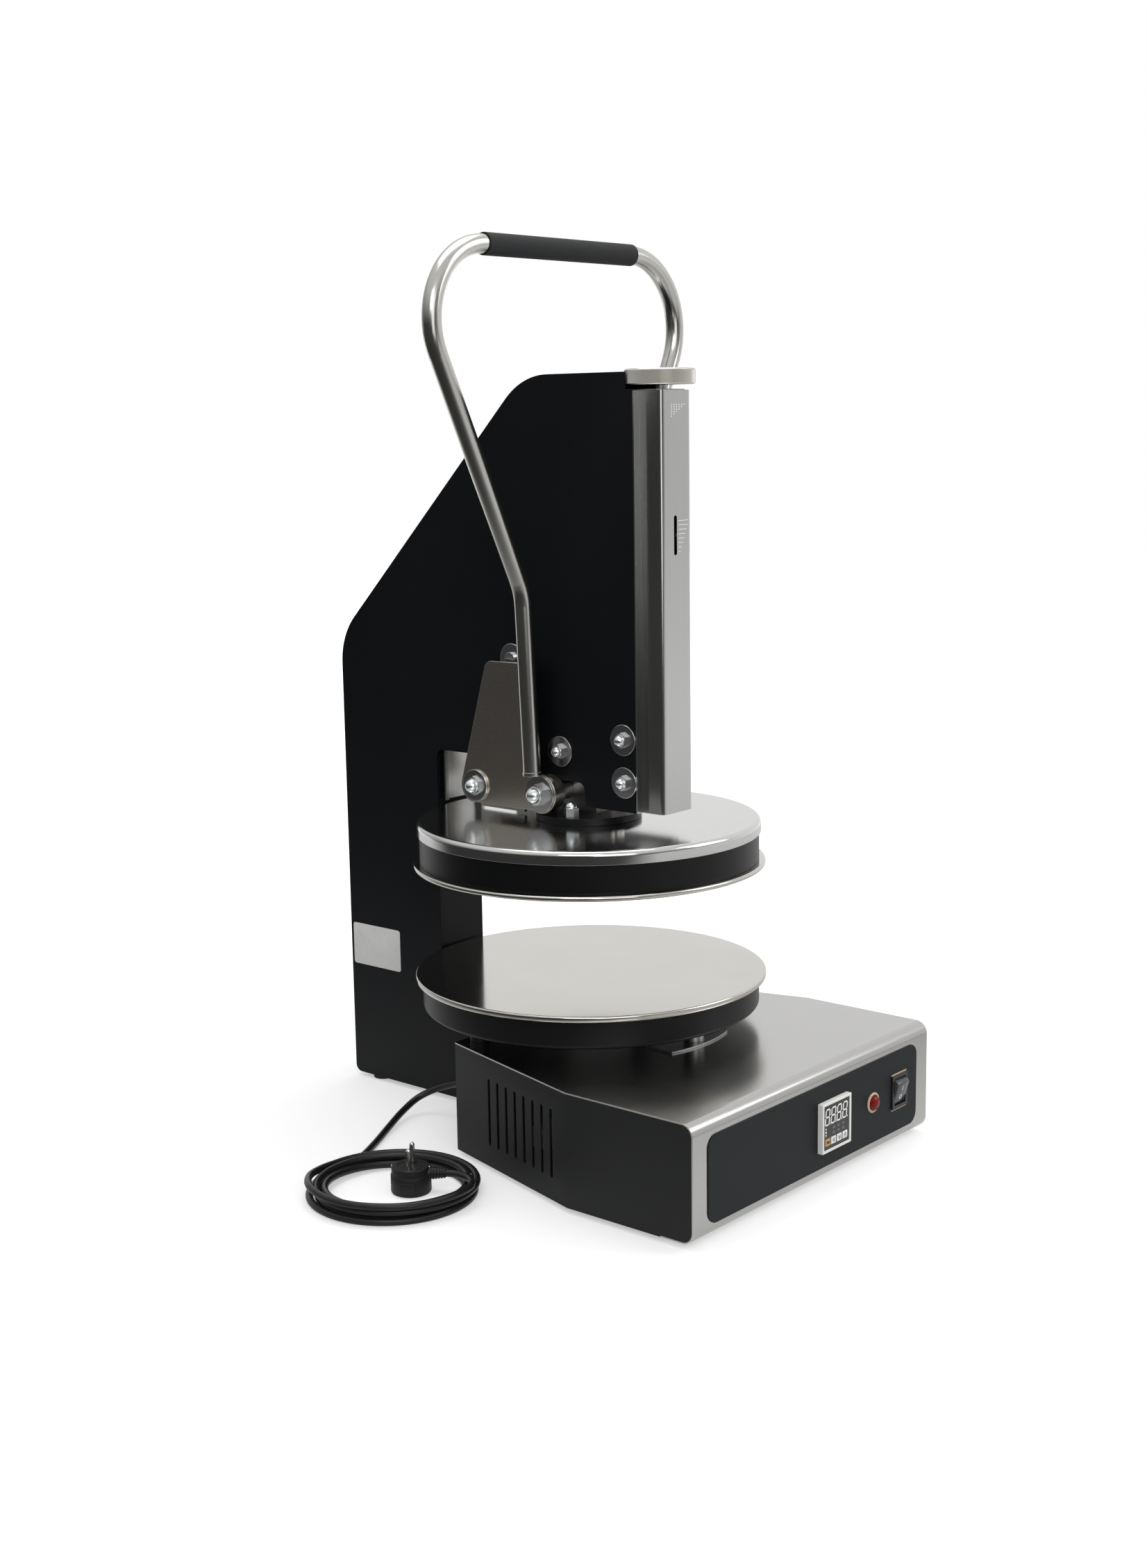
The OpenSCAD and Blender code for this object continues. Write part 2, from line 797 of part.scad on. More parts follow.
// Bent sheet that closes the column's foot and rear, the slope and the top behind the wheel
module column_cover() {
    t = roof_t;
    outer = rounded([[arm_step, base_bottom], [column_rear, base_bottom], [column_rear, slope_z],
        [slope_y, head_top], [roof_front, head_top]], [0, small_r, rear_corner_r, top_corner_r, 0]);
    inner = rounded([[arm_step, base_bottom + t], [column_rear - t, base_bottom + t],
        [column_rear - t, slope_z - t * tan_half], [slope_y - t * tan_half, head_top - t],
        [roof_front, head_top - t]], [0, small_r - t, rear_corner_r - t, top_corner_r - t, 0]);
    color("#1b1c1f") about_axis() slab_x(-inner_x, 2 * inner_x) polygon(concat(outer, back(inner)));
}

// Plate across the front of the column in the throat
module spine_plate() {
    color("#1b1c1f") about_axis() translate([-inner_x, spine_y, arm_high])
        cube([2 * inner_x, spine_t, bracket_top - arm_high]);
}

// Path of the rear axle while the ram goes down and the lever turns in step with it
function cam_point(i) =
    let (share = i / (cam_steps - 2), a = lever_turn * share)
    [pivot_a_y + pivot_span * cos(a), pivot_z - stroke * share + pivot_span * sin(a)];
function cam_side(i, side) =
    let (d = unit(cam_point(i + 1) - cam_point(i - 1)))
    cam_point(i) + side * cam_w / 2 * [-d[1], d[0]];

module cam_slot() {
    there = [for (i = [0 : cam_steps]) cam_side(i, 1)];
    here = [for (i = [0 : cam_steps]) cam_side(i, -1)];
    polygon(concat(there, back(here)));
    translate(cam_point(0)) circle(d = cam_w);
}

// Stainless bracket on the spine, whose curved slots hold the rear axle
module fulcrum_bracket() {
    web = inner_x - bracket_t;
    color("silver") about_axis() difference() {
        intersection() {
            translate([0, 0, bracket_bottom]) linear_extrude(bracket_top) difference() {
                polygon(rounded([[-inner_x, 0], [inner_x, 0], [inner_x, spine_y], [-inner_x, spine_y]],
                    [0, 0, bracket_r, bracket_r]));
                translate([-web, -cut]) square([2 * web, spine_y - bracket_t + cut]);
            }
            slab_x(-inner_x, 2 * inner_x) difference() {
                polygon([[bracket_front, bracket_bottom], [spine_y, bracket_bottom], [spine_y, bracket_top],
                    [bracket_front + bracket_shoulder, bracket_top], [bracket_front, guide_high]]);
                cam_slot();
                translate([0, bracket_bottom - cut]) square([jaw_end, jaw_top - bracket_bottom + cut]);
                translate([bracket_arm_end, bracket_bottom - cut])
                    square([bracket_window_w, bracket_window_top - bracket_bottom + cut]);
            }
        }
        rod_x(-column_w, bracket_bolt[0], bracket_bolt[1], bolt_hole, 2 * column_w);
    }
}

// Low-headed screws that hold the bracket between the side plates
module bracket_screws() {
    reach = side_x + washer_t;
    color("#b9bcc0") about_axis() both_sides() {
        rod_x(-reach - low_head_t, bracket_bolt[0], bracket_bolt[1], low_head_d, low_head_t);
        rod_x(-reach, bracket_bolt[0], bracket_bolt[1], bolt_d, reach - inner_x + bracket_t);
    }
}

// Opening for the ram through a guide
module ram_way(low, high) {
    w = ram_w + 2 * slide_gap;
    d = ram_deep + 2 * slide_gap;
    translate([-w / 2, -d / 2, low - cut]) cube([w, d, high - low + 2 * cut]);
}

// Lower guide of the ram, held by the head's bolts
module lower_guide() {
    hole_end = ram_w / 2 + bracket_t;
    color("#8d8f92") about_axis() difference() {
        slab_x(-inner_x, 2 * inner_x) polygon([[guide_front, guide_low], [guide_step_y, guide_low],
            [guide_step_y, guide_step], [guide_rear, guide_step], [guide_rear, guide_high],
            [guide_front, guide_high]]);
        ram_way(guide_low, guide_high);
        both_sides() for (p = bolt_places) rod_x(-side_x, p[0], p[1], bolt_hole, side_x - hole_end);
    }
}

// Upper guide of the ram, open in front for the stop arm
module upper_guide() {
    w = stop_arm_w + 4 * slide_gap;
    color("#8d8f92") about_axis() difference() {
        translate([-inner_x, -guide_up_half, guide_up_low])
            cube([2 * inner_x, 2 * guide_up_half, guide_up_h]);
        ram_way(guide_up_low, guide_up_top);
        translate([-w / 2, -guide_up_half - cut, guide_up_low - cut])
            cube([w, guide_up_half, guide_up_h + 2 * cut]);
    }
}

// Large washers on both sides of the head
module head_washers() {
    color("#b9bcc0") about_axis() both_sides() for (p = concat(bolt_places, [bracket_bolt])) difference() {
        rod_x(-side_x - washer_t, p[0], p[1], washer_d, washer_t);
        rod_x(-side_x - washer_t - cut, p[0], p[1], bolt_hole, washer_t + 2 * cut);
    }
}

// A domed nut standing on Z = 0
module cap_nut(flats, l) {
    dome = dome_share * flats;
    hex_l = l - dome;
    cylinder(d = flats / cos(30), h = hex_share * hex_l, $fn = 6);
    translate([0, 0, hex_share * hex_l]) cylinder(d1 = flats, d2 = 2 * dome, h = hex_l - hex_share * hex_l);
    translate([0, 0, hex_l]) intersection() {
        sphere(r = dome);
        translate([-flats, -flats, 0]) cube([2 * flats, 2 * flats, flats]);
    }
}

// Cap nuts and studs of the head's bolts
module head_nuts() {
    reach = side_x + washer_t;
    color("#c4c7ca") about_axis() both_sides() for (p = bolt_places) {
        translate([-reach, p[0], p[1]]) rotate([0, -90, 0]) cap_nut(nut_flats, nut_l);
        rod_x(-reach, p[0], p[1], bolt_d, reach - ram_w / 2 - bracket_t - slide_gap);
    }
}

// Stainless cover on the head's front: two flanges and a raised middle with the stop's window
module head_cover() {
    half = cover_w / 2;
    web = half - sheet;
    run = window_h - window_w;
    outline = rounded([[-side_x, -head_front], [-side_x, -flange_y], [-half, -flange_y],
        [-half, -cover_front], [half, -cover_front], [half, -flange_y], [side_x, -flange_y],
        [side_x, -head_front], [web, -head_front], [web, -cover_front + sheet],
        [-web, -cover_front + sheet], [-web, -head_front]],
        [0, 0, 0, cover_r, cover_r, 0, 0, 0, 0, cover_r - sheet, cover_r - sheet, 0]);
    color("silver") about_axis() difference() {
        translate([0, 0, head_bottom]) linear_extrude(cover_top - head_bottom) polygon(outline);
        translate([window_x - window_w / 2, -cover_front - cut, window_z - run / 2])
            cube([window_w, sheet + 2 * cut, run]);
        for (z = [window_z - run / 2, window_z + run / 2]) translate([window_x, -cover_front - cut, z])
            rotate([-90, 0, 0]) cylinder(d = window_w, h = sheet + 2 * cut);
    }
}

// Bearing of the stop screw inside the top of the cover
module screw_bearing() {
    half = cover_w / 2 - sheet;
    front = -cover_front + sheet + cover_r;
    color("#5b5d60") about_axis() difference() {
        translate([-half, front, notch_z - bearing_h]) cube([2 * half, -notch_y - front, bearing_h]);
        translate([0, -wheel_y, notch_z - bearing_h - cut])
            cylinder(d = screw_d + 2 * turn_gap, h = bearing_h + 2 * cut);
    }
}

// Outer tube of the lifting strut under the head's top
module gas_cylinder() {
    color("#222326") about_axis() translate([0, 0, gas_bottom]) difference() {
        cylinder(d = gas_d, h = gas_end - gas_bottom);
        translate([0, 0, -cut]) cylinder(d = gas_bore, h = gas_rod_top - gas_bottom + 2 * cut);
    }
}

// Lower hot plate with its rim
module lower_disc() {
    color("#a9a59d") about_axis() {
        translate([0, 0, rim_bottom]) cylinder(d = plate_d, h = rim_t);
        translate([0, 0, plate_top - disc_t]) cylinder(d = disc_d, h = disc_t - rim_t / 2);
    }
}

// Black pan round the lower plate's heater
module lower_pan() {
    r = pan_d / 2;
    web = r - pan_wall;
    low = pan_bottom + pan_wall;
    color("#141416") about_axis() rotate_extrude() difference() {
        polygon(rounded([[0, pan_bottom], [r, pan_bottom], [r, rim_bottom], [0, rim_bottom]],
            [0, pan_r, 0, 0]));
        polygon(rounded([[0, low], [web, low], [web, rim_bottom + cut], [0, rim_bottom + cut]],
            [0, pan_r - pan_wall, 0, 0]));
    }
}

// Ring heater lying on z
module heater(z) {
    color("#6b6f75") about_axis() translate([0, 0, z]) difference() {
        cylinder(r = heater_ring + heater_d / 2, h = heater_d);
        translate([0, 0, -cut]) cylinder(r = heater_ring - heater_d / 2, h = heater_d + 2 * cut);
    }
}

module lower_heater() {
    heater(plate_top - disc_t - heater_d);
}

module post_places(z) {
    for (a = post_angles) translate([post_ring * cos(a), post_ring * sin(a), z]) children();
}

// Three posts between the lid and the pan, the front one on a sheet with a round front edge
module pan_posts() {
    color("#77797c") about_axis() {
        post_places(base_top) {
            cylinder(d = post_d, h = pan_bottom - base_top);
            translate([0, 0, -post_stud_l]) cylinder(d = post_d / 2 - 2 * turn_gap, h = post_stud_l);
        }
        translate([0, 0, base_top]) linear_extrude(shoe_t) intersection() {
            difference() {
                circle(r = post_ring + shoe_lip);
                circle(r = post_ring - shoe_lip);
            }
            translate([-shoe_w / 2, -plate_d / 2]) square([shoe_w, plate_d / 2]);
        }
    }
}

// Terminal block inside the base
module terminal_block() {
    color("#d8d4c4") about_axis()
        translate([gland_x - terminal_size[0] / 2, -terminal_size[1], base_bottom + sheet])
            cube(terminal_size);
}

// Gland of the mains lead in the rear wall
module cord_gland() {
    color("#161616") about_axis() translate([gland_x, base_rear, gland_z]) rotate([-90, 0, 0]) {
        cylinder(d = gland_d, h = gland_nut_share * gland_l, $fn = 6);
        cylinder(d1 = gland_nose_share * gland_d, d2 = cord_d + 2 * gland_skin, h = gland_l);
        translate([0, 0, -gland_stud_l]) cylinder(d = gland_d / 2 - 2 * turn_gap, h = gland_stud_l);
    }
}

// Ram: square bar in the guides, eye of the lever's shaft and the arm that meets the stop
module ram_bar() {
    color("#9a9da1") about_axis() difference() {
        union() {
            translate([-ram_w / 2, -ram_deep / 2, puck_top]) cube([ram_w, ram_deep, ram_top - puck_top]);
            rod_x(-lug_w / 2, pivot_a_y, pivot_z, 2 * lug_r, lug_w);
            translate([-stop_arm_w / 2, -stop_arm_reach, stop_arm_z])
                cube([stop_arm_w, stop_arm_reach, stop_arm_t]);
        }
        rod_x(-ram_w, pivot_a_y, pivot_z, shaft_a_d + 2 * turn_gap, 2 * ram_w);
    }
}

// Round boss between the ram and the upper plate
module puck() {
    color("#17171a") about_axis() translate([0, 0, cap_top]) cylinder(d = puck_d, h = puck_h);
}

// Cap nuts on the boss
module puck_nuts() {
    color("#c4c7ca") about_axis() for (s = puck_nut_shares)
        translate([s[0] * puck_d / 2, s[1] * puck_d / 2, puck_top]) cap_nut(nut_flats, pivot_nut_l[0]);
}

// Polished cap of the upper plate
module upper_cap() {
    r = cap_d / 2;
    web = r - pan_wall;
    high = cap_top - pan_wall;
    color("#cfd2d4") about_axis() rotate_extrude() difference() {
        polygon(rounded([[0, band_top], [r, band_top], [r, cap_top], [0, cap_top]], [0, 0, cap_r, 0]));
        polygon([[0, band_top - cut], [web, band_top - cut], [web, high], [0, high]]);
    }
}

// Dark band of the upper plate
module upper_band() {
    color("#141416") about_axis() translate([0, 0, band_bottom]) difference() {
        cylinder(d = band_d, h = band_h);
        translate([0, 0, -cut]) cylinder(d = band_d - 2 * pan_wall, h = band_h + 2 * cut);
    }
}

// Upper hot plate with its beaded rim
module upper_disc() {
    r = bead_d / 2;
    bead_r = bead_t / 2 - slide_gap;
    color("#8f8c86") about_axis() {
        rotate_extrude() polygon(rounded([[0, upper_bottom], [r, upper_bottom], [r, band_bottom],
            [0, band_bottom]], [0, bead_r, bead_r, 0]));
        translate([0, 0, band_bottom - bead_t / 2])
            cylinder(d = band_d - 2 * pan_wall - 2 * disc_clear, h = disc_t - bead_t / 2);
    }
}

module upper_heater() {
    heater(upper_bottom + disc_t);
}

// Rod and piston of the lifting strut on the ram
module gas_rod() {
    color("#c4c7ca") about_axis() translate([0, 0, ram_top]) {
        cylinder(d = gas_rod_d, h = gas_rod_top - ram_top);
        translate([0, 0, gas_rod_top - ram_top - gas_rod_d])
            cylinder(d = gas_bore - 2 * piston_clear, h = gas_rod_d);
    }
}

// Handle: its corners lie in one plane across the machine
knee_in = unit([tube_x, tube_low] - tube_knee);
knee_out = unit([bar_reach, bar_z] - tube_knee);
knee_half = acos(knee_in * knee_out) / 2;
knee_run = knee_r / tan(knee_half);
knee_mid = tube_knee + unit(knee_in + knee_out) * knee_r / sin(knee_half);
bar_run = bar_r / tan(acos(knee_out[0]) / 2);
bar_half = bar_reach - bar_run;
lean_low = atan2(-knee_in[0], -knee_in[1]);
lean_up = atan2(knee_out[0], knee_out[1]);

// A straight stretch of tube from p to q in the handle's plane, a hair thinner than the bends that it ends in
module tube_run(p, q) {
    v = q - p;
    translate([p[0], 0, p[1]]) rotate([0, 90 - atan2(v[1], v[0]), 0]) translate([0, 0, -tube_lap])
        cylinder(d = tube_d - 2 * tube_hair, h = norm(v) + 2 * tube_lap);
}

// A bend of tube about c in the handle's plane, from angle a over a sweep
module tube_bend(c, r, a, sweep) {
    translate([c[0], 0, c[1]]) rotate([90, 0, 0]) rotate([0, 0, a]) rotate_extrude(angle = sweep)
        translate([r, 0]) circle(d = tube_d);
}

// Places in the handle's plane, which leans back a little
module in_handle_plane() {
    about_axis() translate([0, tube_y, tube_low]) rotate([-handle_lean, 0, 0]) translate([0, 0, -tube_low])
        children();
}

// Bent tube of the lever
module handle_tube() {
    color("#c8cacd") in_handle_plane() {
        both_sides() {
            tube_run([tube_x, tube_low] - knee_in * tube_lap, tube_knee + knee_in * knee_run);
            tube_bend(knee_mid, knee_r, 180 - lean_up, lean_up - lean_low);
            tube_run(tube_knee + knee_out * knee_run, [bar_reach, bar_z] - knee_out * bar_run);
            tube_bend([bar_half, bar_z - bar_r], bar_r, -lean_up, 90 + lean_up);
        }
        tube_run([-bar_half, bar_z], [bar_half, bar_z]);
    }
}

// Soft grip on the bar
module handle_grip() {
    color("#121212") in_handle_plane() difference() {
        rod_x(-bar_half, 0, bar_z, grip_d, 2 * bar_half);
        rod_x(-bar_half - cut, 0, bar_z, tube_d, 2 * bar_half + 2 * cut);
    }
}

// Trapezoid plate that joins a leg of the handle to both pivots
module crank_outline() {
    polygon(rounded([[crank_front_y, crank_top], [crank_front_y, pivot_z], [pivot_a_y, crank_low],
        [pivot_b_y + heel_reach, crank_low], [crank_front_y + crank_top_w, crank_top]],
        [0, 0, 0, crank_heel_r, crank_corner_r]));
    translate([pivot_a_y, pivot_z]) circle(r = lobe_r);
}

module crank() {
    color("#b8b5ae") about_axis() difference() {
        slab_x(-crank_out, crank_t) crank_outline();
        rod_x(-crank_out - cut, pivot_a_y, pivot_z, thread_d, crank_t + 2 * cut);
        rod_x(-crank_out - cut, pivot_b_y, pivot_z, shaft_b_d, crank_t + 2 * cut);
    }
}

module crank_left() {
    crank();
}

module crank_right() {
    mirror([1, 0, 0]) crank();
}

// Shaft through the ram's eye, with a hub behind each crank and a thread at each end
module shaft_a() {
    reach = crank_out + pivot_washer_t;
    color("#c4c7ca") about_axis() {
        rod_x(-crank_x, pivot_a_y, pivot_z, shaft_a_d, 2 * crank_x);
        both_sides() rod_x(-crank_x, pivot_a_y, pivot_z, hub_d, crank_x - bush_in);
        rod_x(-reach, pivot_a_y, pivot_z, thread_d, 2 * reach);
    }
}

// Rear axle in the bracket's slots
module shaft_b() {
    reach = crank_out + pivot_washer_t;
    color("#c4c7ca") about_axis() rod_x(-reach, pivot_b_y, pivot_z, shaft_b_d, 2 * reach);
}

// Spacers on the rear axle between the cranks and the head
module pivot_bushes() {
    color("#b9bcc0") about_axis() both_sides() difference() {
        rod_x(-crank_x, pivot_b_y, pivot_z, bush_d, crank_x - bush_in);
        rod_x(-crank_x - cut, pivot_b_y, pivot_z, shaft_b_d, crank_x - bush_in + 2 * cut);
    }
}

// Washers on both sides of a pivot
module pivot_washers(y, d, bore) {
    color("#b9bcc0") about_axis() both_sides() difference() {
        rod_x(-crank_out - pivot_washer_t, y, pivot_z, d, pivot_washer_t);
        rod_x(-crank_out - pivot_washer_t - cut, y, pivot_z, bore, pivot_washer_t + 2 * cut);
    }
}

module washers_a() {
    pivot_washers(pivot_a_y, washer_a_d, thread_d);
}

module washers_b() {
    pivot_washers(pivot_b_y, washer_b_d, shaft_b_d);
}

// Cap nuts on the ends of both pivots
module pivot_nuts() {
    places = [pivot_a_y, pivot_b_y];
    color("#c4c7ca") about_axis() both_sides() for (i = [0 : 1])
        translate([-crank_out - pivot_washer_t, places[i], pivot_z]) rotate([0, -90, 0])
            cap_nut(pivot_nut_flats[i], pivot_nut_l[i]);
}

// Knurled wheel that sets the dough's thickness
module thickness_wheel() {
    color("#8f8b80") about_axis() translate([0, -wheel_y, wheel_low]) linear_extrude(wheel_h) difference() {
        circle(d = wheel_d);
        for (i = [0 : wheel_grooves - 1]) rotate([0, 0, i * 360 / wheel_grooves]) translate([wheel_d / 2, 0])
            circle(d = groove_d);
        circle(d = screw_neck);
    }
}

// Screw below the wheel, with a neck that the wheel is fixed to
module thickness_screw() {
    color("#8d8f92") about_axis() translate([0, -wheel_y, 0]) {
        translate([0, 0, screw_low]) cylinder(d = screw_d, h = wheel_low - screw_low);
        translate([0, 0, wheel_low]) cylinder(d = screw_neck, h = wheel_h);
    }
}

// Stop nut: block on the screw, pointer behind the window and a leg with the foot that stops the ram
module stop_nut() {
    low = window_z - nut_h / 2;
    reach = cover_front - sheet - pointer_gap;
    leg_front = stop_leg_y - stop_leg_t / 2;
    block_rear = -wheel_y + nut_deep / 2;
    foot_low = stop_foot_top - stop_foot_t;
    color("#b59a55") about_axis() difference() {
        union() {
            translate([-nut_w / 2, block_rear - nut_deep, low]) cube([nut_w, nut_deep, nut_h]);
            translate([window_x - pointer_w / 2, -reach, window_z - pointer_t / 2])
                cube([pointer_w, reach - wheel_y, pointer_t]);
            translate([-stop_arm_w / 2, leg_front, foot_low])
                cube([stop_arm_w, max(stop_leg_t, block_rear - leg_front), low + stop_leg_t - foot_low]);
            translate([-stop_arm_w / 2, leg_front, foot_low]) cube([stop_arm_w, stop_foot_l, stop_foot_t]);
        }
        translate([0, -wheel_y, low - cut]) cylinder(d = screw_d + 2 * turn_gap, h = nut_h + 2 * cut);
    }
}

// A tube swept along points, its rings square to the path
function along(p, i) = unit(p[min(i + 1, len(p) - 1)] - p[max(i - 1, 0)]);
function ring(p, i, r, sides) =
    let (t = along(p, i), s = unit(cross([0, 0, 1], t)), u = cross(t, s))
    [for (k = [0 : sides - 1]) p[i] + r * (cos(360 * k / sides) * s + sin(360 * k / sides) * u)];

module swept(p, r, sides) {
    n = len(p);
    end = (n - 1) * sides;
    rings = [for (i = [0 : n - 1]) each ring(p, i, r, sides)];
    walls = [for (i = [0 : n - 2]) for (k = [0 : sides - 1])
        let (a = i * sides + k, b = i * sides + (k + 1) % sides)
        each [[a, a + sides, b], [b, a + sides, b + sides]]];
    first = [for (k = [1 : sides - 2]) [0, k, k + 1]];
    last = [for (k = [1 : sides - 2]) [end, end + k + 1, end + k]];
    polyhedron(rings, concat(walls, first, last));
}

// Smooth points between route points
function smooth(p) =
    let (n = len(p))
    concat([for (i = [0 : n - 2]) for (k = [0 : route_fill - 1])
        let (t = k / route_fill, a = p[max(i - 1, 0)], b = p[i], c = p[i + 1], d = p[min(i + 2, n - 1)])
        b + t * ((c - a) + t * ((2 * a - 5 * b + 4 * c - d) + t * (3 * b - a - 3 * c + d))) / 2],
        [p[n - 1]]);

// Loops: a first layer spirals in on the floor, a second one spirals out on top of it
function loop_r(u) = coil_r - coil_pitch * (coil_turns - abs(coil_turns - u));
function ease(t) = t <= 0 ? 0 : t >= 1 ? 1 : t * t * (3 - 2 * t);
function loop_z(u) = cord_z + layer_step * ease(2 * (u - coil_turns) + 0.5);
function loop_point(u) =
    let (a = coil_start + 360 * u)
    [coil_x + loop_r(u) * cos(a), coil_y + loop_r(u) * sin(a), loop_z(u)];
loops = [for (i = [0 : 2 * coil_turns * coil_rings - 1]) loop_point(i / coil_rings)];
coil_in = [coil_x + cord_d, coil_y + coil_r, cord_z];
coil_points = concat([coil_in], loops, smooth(concat([loop_point(2 * coil_turns)], tail_route)));
lead_points = smooth(lead_route);
function run_of(p) = [for (i = [1 : len(p) - 1]) norm(p[i] - p[i - 1])] * [for (i = [1 : len(p) - 1]) 1];
loop_skip = coil_rings / 3;
ring_count = len(coil_points);
least_gap = min([for (i = [0 : ring_count - 1 - loop_skip]) for (j = [i + loop_skip : ring_count - 1])
    norm(coil_points[i] - coil_points[j])]) - cord_d;
echo(coil_least_gap = least_gap, lead_run = run_of(lead_points), coil_run = run_of(coil_points));

module cord_lead() {
    color("#161616") about_axis() swept(lead_points, cord_r, lead_sides);
}

module cord_coil() {
    color("#161616") about_axis() swept(coil_points, cord_r, coil_sides);
}

// Places on the plug, whose lead leaves along its own X and meets the end of the coil
tail_end = tail_route[len(tail_route) - 1];

module at_plug() {
    about_axis() translate([tail_end[0], tail_end[1], 0]) rotate([0, 0, plug_angle])
        translate([-plug_neck_l, 0, 0]) children();
}

// Flat right-angled plug lying with its pins up
module plug_body() {
    color("#161616") at_plug() {
        cylinder(d = plug_d, h = plug_h);
        translate([0, 0, tail_end[2]]) rotate([0, 90, 0]) cylinder(d = plug_neck_d, h = plug_neck_l);
    }
}

module plug_pins() {
    color("#c4c7ca") at_plug() for (s = [-1, 1]) translate([0, s * pin_span / 2, plug_h]) {
        cylinder(d = pin_d, h = pin_l - pin_d / 2);
        translate([0, 0, pin_l - pin_d / 2]) sphere(d = pin_d);
    }
}

base_cover();
base_side_left();
base_side_right();
base_rear_wall();
base_floor();
feet();
control_plate();
controller();
key_mode();
key_left();
key_down();
key_up();
lamp_ring();
lamp_lens();
switch_bezel();
switch_rocker();
column_side_left();
column_side_right();
column_cover();
spine_plate();
fulcrum_bracket();
bracket_screws();
lower_guide();
upper_guide();
head_washers();
head_nuts();
head_cover();
screw_bearing();
gas_cylinder();
lower_disc();
lower_pan();
lower_heater();
pan_posts();
terminal_block();
cord_gland();
ram_bar();
puck();
puck_nuts();
upper_cap();
upper_band();
upper_disc();
upper_heater();
gas_rod();
handle_tube();
handle_grip();
crank_left();
crank_right();
shaft_a();
shaft_b();
pivot_bushes();
washers_a();
washers_b();
pivot_nuts();
thickness_wheel();
thickness_screw();
stop_nut();
cord_lead();
cord_coil();
plug_body();
plug_pins();
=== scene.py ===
"""Finishes and fine detail of a heated dough press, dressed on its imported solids.

Blender works in metres. Pieces are modelled in millimetres about the axis of the hot plates, and Shape
turns them into the shared frame when they are done.
"""

import logging
import math
from dataclasses import dataclass
from enum import Enum
from typing import Optional, Sequence, Union

import bmesh
import bpy
from mathutils import Matrix, Vector


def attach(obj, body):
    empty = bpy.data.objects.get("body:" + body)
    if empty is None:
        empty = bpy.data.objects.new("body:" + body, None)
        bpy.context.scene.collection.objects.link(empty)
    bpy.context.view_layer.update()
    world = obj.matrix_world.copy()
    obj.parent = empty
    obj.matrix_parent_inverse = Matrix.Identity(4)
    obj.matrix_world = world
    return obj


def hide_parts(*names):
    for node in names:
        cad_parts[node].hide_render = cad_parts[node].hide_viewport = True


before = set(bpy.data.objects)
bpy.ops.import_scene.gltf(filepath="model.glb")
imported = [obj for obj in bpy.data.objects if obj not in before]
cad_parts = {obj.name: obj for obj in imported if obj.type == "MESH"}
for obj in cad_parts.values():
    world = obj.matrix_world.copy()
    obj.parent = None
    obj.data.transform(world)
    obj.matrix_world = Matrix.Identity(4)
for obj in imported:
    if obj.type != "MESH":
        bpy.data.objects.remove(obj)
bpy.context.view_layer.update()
LOG = logging.getLogger("dough_press")
MM = 0.001
AXIS_Y = -16.75
TO_FRAME = Matrix.Scale(MM, 4) @ Matrix.Translation((0.0, AXIS_Y, 0.0))
FACET_ANGLE = math.radians(35.0)
FLAT_ANGLE = math.radians(0.2)
JOIN_GAP = 0.002 * MM
SAME_PLACE = 1e-3
BROKEN_EDGE_STEPS = 3
CORNER_STEPS = 6
EDGE_STEPS = 2
FACE_WEIGHT = 100
NOISE_ROUGHNESS = 0.55
RING_DETAIL = 3.0
SIDES = (-1.0, 1.0)
WHITE = (1.0, 1.0, 1.0, 1.0)

Colour = tuple[float, float, float]
Number = Union[float, "Value"]
Setting = Union[str, float, bool]
Profile = tuple[tuple[float, float], ...]
Route = tuple[tuple[float, float, float], ...]


class Body(Enum):
    """The bodies that new pieces ride on."""

    FRAME = "frame"
    LEVER = "lever"
    WHEEL = "wheel"
    ROCKER = "rocker"
    KEY_MODE = "key_mode"
    KEY_LEFT = "key_left"
    KEY_DOWN = "key_down"
    KEY_UP = "key_up"


class Grain(Enum):
    """The way that brush marks run, as the stretch of their pattern along X, Y and Z."""

    ALONG_X = (0.008, 1.0, 1.0)
    ALONG_Y = (1.0, 0.008, 1.0)
    ALONG_Z = (1.0, 1.0, 0.008)


def rgba(colour: Colour) -> tuple[float, float, float, float]:
    """A colour with full opacity."""
    return (*colour, 1.0)


def shade(colour: Colour, share: float) -> Colour:
    """A colour made darker or lighter by a share."""
    return tuple(min(1.0, part * share) for part in colour)


